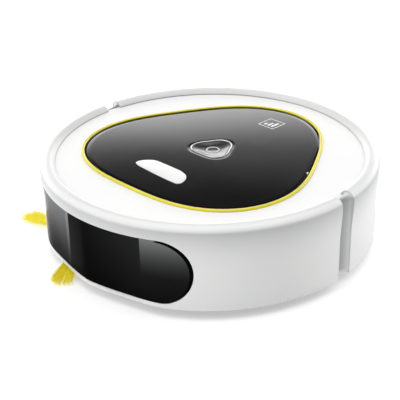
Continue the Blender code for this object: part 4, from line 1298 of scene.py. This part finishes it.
button_pieces()

# ---------------------------------------------------------------- side brush
HUB_X, HUB_Y, _ = middle("side_brush_hub")
ARM_ANGLES = (185.0, 305.0, 65.0)
ARM_LENGTH = 88.0
TUFT_START = 36.5
# How an arm droops: distances from the hub, and heights there.
DROOP_AT = [8, 12.5, 16.5, 28, 46, 64, 78, ARM_LENGTH]
DROOP_Z = [10.7, 9.8, 8.0, 6.8, 5.6, 4.5, 3.6, 2.9]
# The finger that clamps the tuft: (distance from the hub, width, thickness).
FINGER = (
    (9.5, 3.0, 1.1), (13, 3.2, 1.4), (17, 3.2, 1.6), (24, 3.1, 1.7),
    (30, 3.2, 1.8), (36, 3.6, 2.0), (38.5, 3.4, 1.8),
)
HUB_RING = [(2.2, 9.9), (2.2, 11.5), (10.6, 11.5), (11.5, 11.1), (11.5, 10.2), (10.9, 9.9)]


def arm_z(r):
    return float(np.interp(r, DROOP_AT, DROOP_Z))


def squarish(value):
    return math.copysign(abs(value) ** 0.7, value)


def arm_point(angle, r, side, z):
    cos, sin = math.cos(math.radians(angle)), math.sin(math.radians(angle))
    return (HUB_X + r * cos - side * sin, HUB_Y + r * sin + side * cos, z)


def finger(shape, arm):
    rings = []
    for r, width, thick in FINGER:
        ring = []
        for k in range(12):
            turn = 2 * math.pi * k / 12
            side = width / 2 * squarish(math.cos(turn))
            ring.append(arm_point(arm, r, side, arm_z(r) + thick / 2 * squarish(math.sin(turn))))
        rings.append(shape.add(ring))
    shape.loft(rings, caps=True)


def side_tuft(shape, arm):
    """Hairs fanned out and a little frayed."""
    for _ in range(190):
        spread = rng.uniform(-1, 1)
        layer = rng.uniform(-1, 1)
        end = ARM_LENGTH - abs(spread) ** 3 * 5.0 - rng.random() ** 3 * 12.0
        bend = rng.uniform(-1, 1) * 1.6
        path, radii = [], []
        for i in range(7):
            part = i / 6
            r = TUFT_START + (end - TUFT_START) * part
            side = spread * (1.3 + 9.6 * part**0.85) + bend * part * part
            z = max(0.75, arm_z(r) + layer * (0.7 + 1.5 * part))
            path.append(arm_point(arm, r, side, z))
            radii.append(0.28 - 0.10 * part)
        tube(shape, path, radii, sides=4)


def side_brush():
    fingers = lathe(HUB_RING, (HUB_X, HUB_Y, 0), segments=48, closed=True)
    hairs = Shape()
    for arm in ARM_ANGLES:
        finger(fingers, arm)
        side_tuft(hairs, arm)
    fingers.piece(
        "side_brush_fingers",
        "soft_rubber",
        "side_brush",
        "yellow_bristle",
        replaces="side_brush_bristles",
        angle=40,
    )
    hairs.piece("side_brush_tufts", "yellow_bristle", "side_brush", angle=80)


side_brush()

# ---------------------------------------------------------------- main brush
brush_low, brush_high = box_mm("main_brush_bristles")
BRUSH_Y, BRUSH_Z = (brush_low[1] + brush_high[1]) / 2, (brush_low[2] + brush_high[2]) / 2
BRUSH_X0, BRUSH_X1 = brush_low[0], brush_high[0]
R_BRUSH = (brush_high[1] - brush_low[1]) / 2 - 0.05
BRUSH_STATIONS = np.linspace(BRUSH_X0, BRUSH_X1, 57)
STRIP_PITCH = 60.0  # degrees between strips; fins and tufts take turns
# Half a fin's section, base to tip: (radius, half thickness).
FIN = [(9.6, 1.1), (12.0, 0.8), (15.0, 0.6), (R_BRUSH - 0.6, 0.5)]
FIN_SECTION = [(r, -w) for r, w in FIN] + [(R_BRUSH - 0.2, 0.0)] + FIN[::-1]


def sweep_angle(x):
    """The strips run in a V, twisted more towards both ends."""
    return 60.0 * abs(x) / BRUSH_X1


def brush_point(x, r, turn):
    return (x, BRUSH_Y + r * math.cos(turn), BRUSH_Z + r * math.sin(turn))


def brush_sleeve():
    """Sleeve with raised strips that hold the tufts and fins."""
    shape = Shape()
    outside, bore = [], []
    for x in BRUSH_STATIONS:
        ring = []
        for k in range(72):
            off = (k * 5.0 - sweep_angle(x)) % STRIP_PITCH
            off = min(off, STRIP_PITCH - off)
            r = 8.9 + 1.4 * ease((9.0 - off) / 4.0)
            ring.append(brush_point(x, r, math.radians(k * 5.0)))
        outside.append(shape.add(ring))
        bore.append(shape.add([brush_point(x, 7.6, math.radians(k * 5.0)) for k in range(72)]))
    shape.loft(outside)
    shape.loft(bore)
    for end in (0, -1):
        shape.strip(outside[end], bore[end], True)
    shape.piece(
        "main_brush_sleeve",
        "dark_plastic",
        "main_brush",
        replaces="main_brush_bristles",
        angle=40,
    )


def brush_fins():
    """Rubber fins on every other strip."""
    shape = Shape()
    for k in range(3):
        rows = []
        for x in BRUSH_STATIONS:
            turn = math.radians(2 * STRIP_PITCH * k + sweep_angle(x))
            cos, sin = math.cos(turn), math.sin(turn)
            ring = [
                (x, BRUSH_Y + r * cos - side * sin, BRUSH_Z + r * sin + side * cos)
                for r, side in FIN_SECTION
            ]
            rows.append(shape.add(ring))
        shape.loft(rows, caps=True)
    shape.piece("main_brush_fins", "soft_rubber", "main_brush", "dark_plastic", angle=50)


def brush_tufts():
    shape = Shape()
    root = 9.8
    for strip in range(3):
        base = STRIP_PITCH + 2 * STRIP_PITCH * strip
        for x in np.arange(BRUSH_X0 + 2.0, BRUSH_X1 - 1.0, 3.4):
            for _ in range(9):
                turn = math.radians(base + sweep_angle(x) + rng.uniform(-2.0, 2.0))
                lean = math.radians(rng.uniform(-7, 7))
                foot = x + rng.uniform(-0.8, 0.8)
                drift = rng.uniform(-1.3, 1.3)
                end = R_BRUSH - rng.random() * 0.8
                path = []
                for i in range(4):
                    r = root + (end - root) * i / 3
                    bent = turn + lean * (i / 3) ** 1.5 * 0.7
                    path.append(brush_point(foot + drift * (i / 3), r, bent))
                tube(shape, path, [0.17, 0.16, 0.14, 0.10], sides=3)
    shape.piece("main_brush_tufts", "yellow_bristle", "main_brush", angle=80)


brush_sleeve()
brush_fins()
brush_tufts()

# ---------------------------------------------------------------- wheels
TYRE_SEGMENTS, TYRE_ROWS = 180, 14
LUG_PITCH = 15.0  # degrees
TREAD = 1.9  # depth between lugs, and the crown's fall to the shoulders
TYRE_WALL = ((28.9, 1.0), (27.5, 0.6))  # (radius, inset from the tyre's side)
# The hub's profile: (radius, depth from its inner face), then from its outer face.
HUB_INNER = ((3.5, 0), (26.4, 0), (26.9, 0.5))
HUB_OUTER = (
    (26.9, 0.6), (26.4, 0.1), (23.6, 0.1), (22.8, 0.7), (20.8, 4.4), (19.8, 4.9),
    (10.4, 4.9), (9.4, 4.2), (8.6, 2.4), (7.6, 2.2), (3.5, 2.2),
)


def tread_radius(angle, across, crown):
    """Lugs bent back from the middle; `across` runs from -1 to 1 over the tyre."""
    phase = (angle + 7.0 * (1 - abs(across))) % LUG_PITCH
    lug = ease((phase - 1.0) / 1.6) * ease((11.5 - phase) / 1.6)
    r = crown - TREAD * abs(across) ** 5
    if abs(across) < 0.99:
        return r - TREAD * (1 - lug)
    return r - TREAD * (1 - lug) * 0.3 - 0.6


def tyre(side):
    low, high = box_mm("wheel_tyre_" + side)
    x0, x1 = low[0], high[0]
    centre_z, crown = (low[2] + high[2]) / 2, (high[2] - low[2]) / 2
    angles = full_turn(TYRE_SEGMENTS)
    shape = Shape()

    def ring(x, radius):
        points = []
        for angle in angles:
            r, turn = radius(angle), math.radians(angle)
            points.append((x, r * math.cos(turn), centre_z + r * math.sin(turn)))
        return shape.add(points)

    tread = []
    for i in range(TYRE_ROWS + 1):
        across = -1 + 2 * i / TYRE_ROWS
        x = (x0 + x1) / 2 + across * ((x1 - x0) / 2)
        tread.append(ring(x, lambda angle: tread_radius(angle, across, crown)))
    low_wall = [ring(x0 + inset, lambda angle: r) for r, inset in TYRE_WALL]
    high_wall = [ring(x1 - inset, lambda angle: r) for r, inset in TYRE_WALL]
    shape.loft(low_wall[::-1] + tread + high_wall, back=True)
    shape.piece(
        "tyre_skin_" + side, "tyre_rubber", "wheel_" + side, replaces="wheel_tyre_" + side
    )
    return centre_z


def hub(side, sign, centre_z):
    """Dished hub with six round holes."""
    low, high = box_mm("wheel_hub_" + side)
    inner, outer = (low[0], high[0]) if sign > 0 else (high[0], low[0])
    profile = [(r, inner + sign * depth) for r, depth in HUB_INNER]
    profile += [(r, outer - sign * depth) for r, depth in HUB_OUTER]
    shape = lathe(profile, (0, 0, centre_z), "X", 96, closed=True)
    ob = shape.piece(
        "hub_skin_" + side, "grey_plastic", "wheel_" + side, replaces="wheel_hub_" + side
    )
    holes = Shape()
    ends = [(2.9, outer - sign * 9.0), (2.9, outer + sign * 2.0)]
    for k in range(6):
        turn = math.radians(60.0 * k + 30)
        centre = (0, 15.2 * math.cos(turn), centre_z + 15.2 * math.sin(turn))
        lathe(ends, centre, "X", 20, shape=holes)
    carve(ob, holes)
    add_bevel(ob, 0.3, limit=50.0)


for side, sign in (("left", 1), ("right", -1)):
    hub(side, sign, tyre(side))

# ---------------------------------------------------------------- nodes kept as they are
KEPT = {
    "dark_plastic": """chassis_base brush_housing caster_fork main_brush_core side_brush_hub
        fan_housing bumper_switch_left bumper_switch_right power_switch lid_frame""",
    "mid_plastic": "battery_door brush_guard",
    "grey_plastic": """caster_socket wheel_arm_left wheel_arm_right brush_gear dust_bin_lid
        filter_frame fan_impeller""",
    "white_plastic": "caster_wheel",
    "silver_rim": "rating_plate",
    "contact_metal": "charging_contact_left charging_contact_right",
    "steel": """caster_axle wheel_motor_left wheel_motor_right wheel_spring_left
        wheel_spring_right brush_motor brush_pinion side_brush_motor side_brush_screw fan_motor
        bumper_spring_left bumper_spring_right lid_hinge_pin""",
    "battery_wrap": "battery_pack",
    "smoke_clear": "dust_bin",
    "yellow_trim": "bin_grip",
    "filter_paper": "filter_pleats",
    "circuit_board": "main_board front_sensor_board button_board",
}
NO_BEVEL = """wheel_spring_left wheel_spring_right bumper_spring_left bumper_spring_right
    filter_pleats brush_gear brush_pinion fan_impeller""".split()


def dress(node, look):
    """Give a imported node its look, weld its seams and soften its edges."""
    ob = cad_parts[node]
    for slot in ob.material_slots:
        slot.material = LOOK[look]
    if not ob.material_slots:
        ob.data.materials.append(LOOK[look])
    weld = ob.modifiers.new("weld", "WELD")
    weld.merge_threshold = 0.000005
    if node not in NO_BEVEL:
        add_bevel(ob, 0.35, limit=38.0)


for look, nodes in KEPT.items():
    for node in nodes.split():
        dress(node, look)

# ---------------------------------------------------------------- stage, in metres
SKY, SKY_DIM = 1.12, 0.03  # sky strength, and on its dim side
DIM_SIDE = math.radians(337.0)
CARD = 0.95  # strength of the bright card opposite the camera
TOP_POWER = 17.2
FLOOR_GLOW = 0.42
# The card's brightness upwards: (part of its height, value).
CARD_STEPS = (
    (0.0, 0.80), (0.18, 0.70), (0.30, 0.50), (0.43, 0.27), (0.557, 0.135),
    (0.677, 0.066), (0.80, 0.028), (0.916, 0.010), (1.0, 0.008),
)
# The camera looks from the front left, down at the cleaner.
ELEVATION, ROLL, TURN = math.radians(27.40), math.radians(-1.22), math.radians(45.4)
LENS, DISTANCE = 97.776, 1.0887
TARGET = Vector((0.01121, -0.02580, 0.050 - GROUND * MM))
BACK = Vector(
    (
        math.sin(TURN) * math.cos(ELEVATION),
        -math.cos(TURN) * math.cos(ELEVATION),
        math.sin(ELEVATION),
    )
)


def add_floor():
    mesh = bpy.data.meshes.new("floor")
    bm = bmesh.new()
    bmesh.ops.create_grid(bm, x_segments=8, y_segments=8, size=6.0)
    bm.to_mesh(mesh)
    bm.free()
    ob = bpy.data.objects.new("floor", mesh)
    ob.location = (0, 0, -GROUND * MM - 0.0001)
    scene.collection.objects.link(ob)
    mat = Material("floor_white")
    mat.finish(
        colour=mat.mix(mat.noise(scale=3.0), (0.76, 0.76, 0.76), (0.78, 0.78, 0.78)),
        rough=0.9,
        specular=0.05,
        emission=(1.0, 1.0, 1.0),
        glow=FLOOR_GLOW,
    )
    # seen from below the floor is clear, so the underside can be looked at
    below = mat.new("NewGeometry").outputs["Backfacing"]
    clear = mat.new("BsdfTransparent").outputs[0]
    either = mat.new("MixShader", {0: below, 1: mat.shader.outputs[0], 2: clear})
    mat.link(either.outputs[0], mat.output.inputs["Surface"])
    mesh.materials.append(LOOK["floor_white"])


def add_camera():
    camera = bpy.data.objects.new("camera", bpy.data.cameras.new("camera"))
    camera.data.sensor_width = 36.0
    camera.data.lens = LENS
    camera.data.clip_start, camera.data.clip_end = 0.01, 50.0
    right = Vector((math.cos(TURN), math.sin(TURN), 0))
    up = BACK.cross(right)
    x = right * math.cos(ROLL) + up * math.sin(ROLL)
    y = up * math.cos(ROLL) - right * math.sin(ROLL)
    matrix = Matrix((x, y, BACK)).transposed().to_4x4()
    matrix.translation = TARGET + BACK * DISTANCE
    camera.matrix_world = matrix
    scene.collection.objects.link(camera)
    scene.camera = camera


def add_softbox():
    light = bpy.data.lights.new("top_softbox", "AREA")
    light.shape = "RECTANGLE"
    light.size, light.size_y = 2.2, 2.2
    light.energy = TOP_POWER
    ob = bpy.data.objects.new("top_softbox", light)
    ob.location = (0.0, 0.0, 1.9)
    ob.rotation_euler = Vector((0, 0, -1.9)).to_track_quat("-Z", "Y").to_euler()
    scene.collection.objects.link(ob)


def add_world():
    """A sky dim on one side, with a bright card in the part opposite the camera."""
    world = bpy.data.worlds.new("studio")
    scene.world = world
    world.use_nodes = True
    graph = Graph(world.node_tree)
    output = graph.new("OutputWorld")
    background = graph.new("Background", {"Color": (1.0, 1.0, 1.0)})
    graph.link(background.outputs[0], output.inputs[0])
    x, y, z = graph.split(graph.new("TexCoord").outputs["Generated"])

    flat = math.cos(ELEVATION)
    ahead = graph.along(x, y, direction=(-BACK.x / flat, -BACK.y / flat))
    behind = graph.ramp(ahead, over=(0.30, 0.75), smooth=True)
    shaded = graph.along(x, y, direction=(math.cos(DIM_SIDE), math.sin(DIM_SIDE)))

    strip = graph.new("ValToRGB", {"Fac": graph.ramp(z, over=(0.30, 0.52))})
    elements = strip.color_ramp.elements
    while len(elements) < len(CARD_STEPS):
        elements.new(0.5)
    for element, (position, value) in zip(elements, CARD_STEPS):
        element.position = position
        element.color = (value, value, value, 1.0)
    card = graph.times(strip.outputs["Color"], 4.0 * CARD)
    overhead = (math.sin(math.radians(44)), math.sin(math.radians(62)))
    card = graph.plus(card, graph.ramp(z, over=overhead, to=(0.0, 0.8), smooth=True))
    # the card is for reflections; as a lamp it is weaker, so that the back isn't burnt out
    diffuse = graph.new("LightPath").outputs["Is Diffuse Ray"]
    card = graph.times(card, graph.minus(1.0, graph.times(diffuse, 0.62)))

    sky = graph.ramp(shaded, over=(0.15, 0.93), to=(SKY, SKY_DIM), smooth=True)
    sky = graph.times(sky, graph.minus(1.0, behind))
    graph.link(graph.plus(sky, graph.times(card, behind)), background.inputs["Strength"])


add_floor()
add_camera()
add_softbox()
add_world()
scene.view_settings.view_transform = "Standard"
scene.view_settings.look = "None"
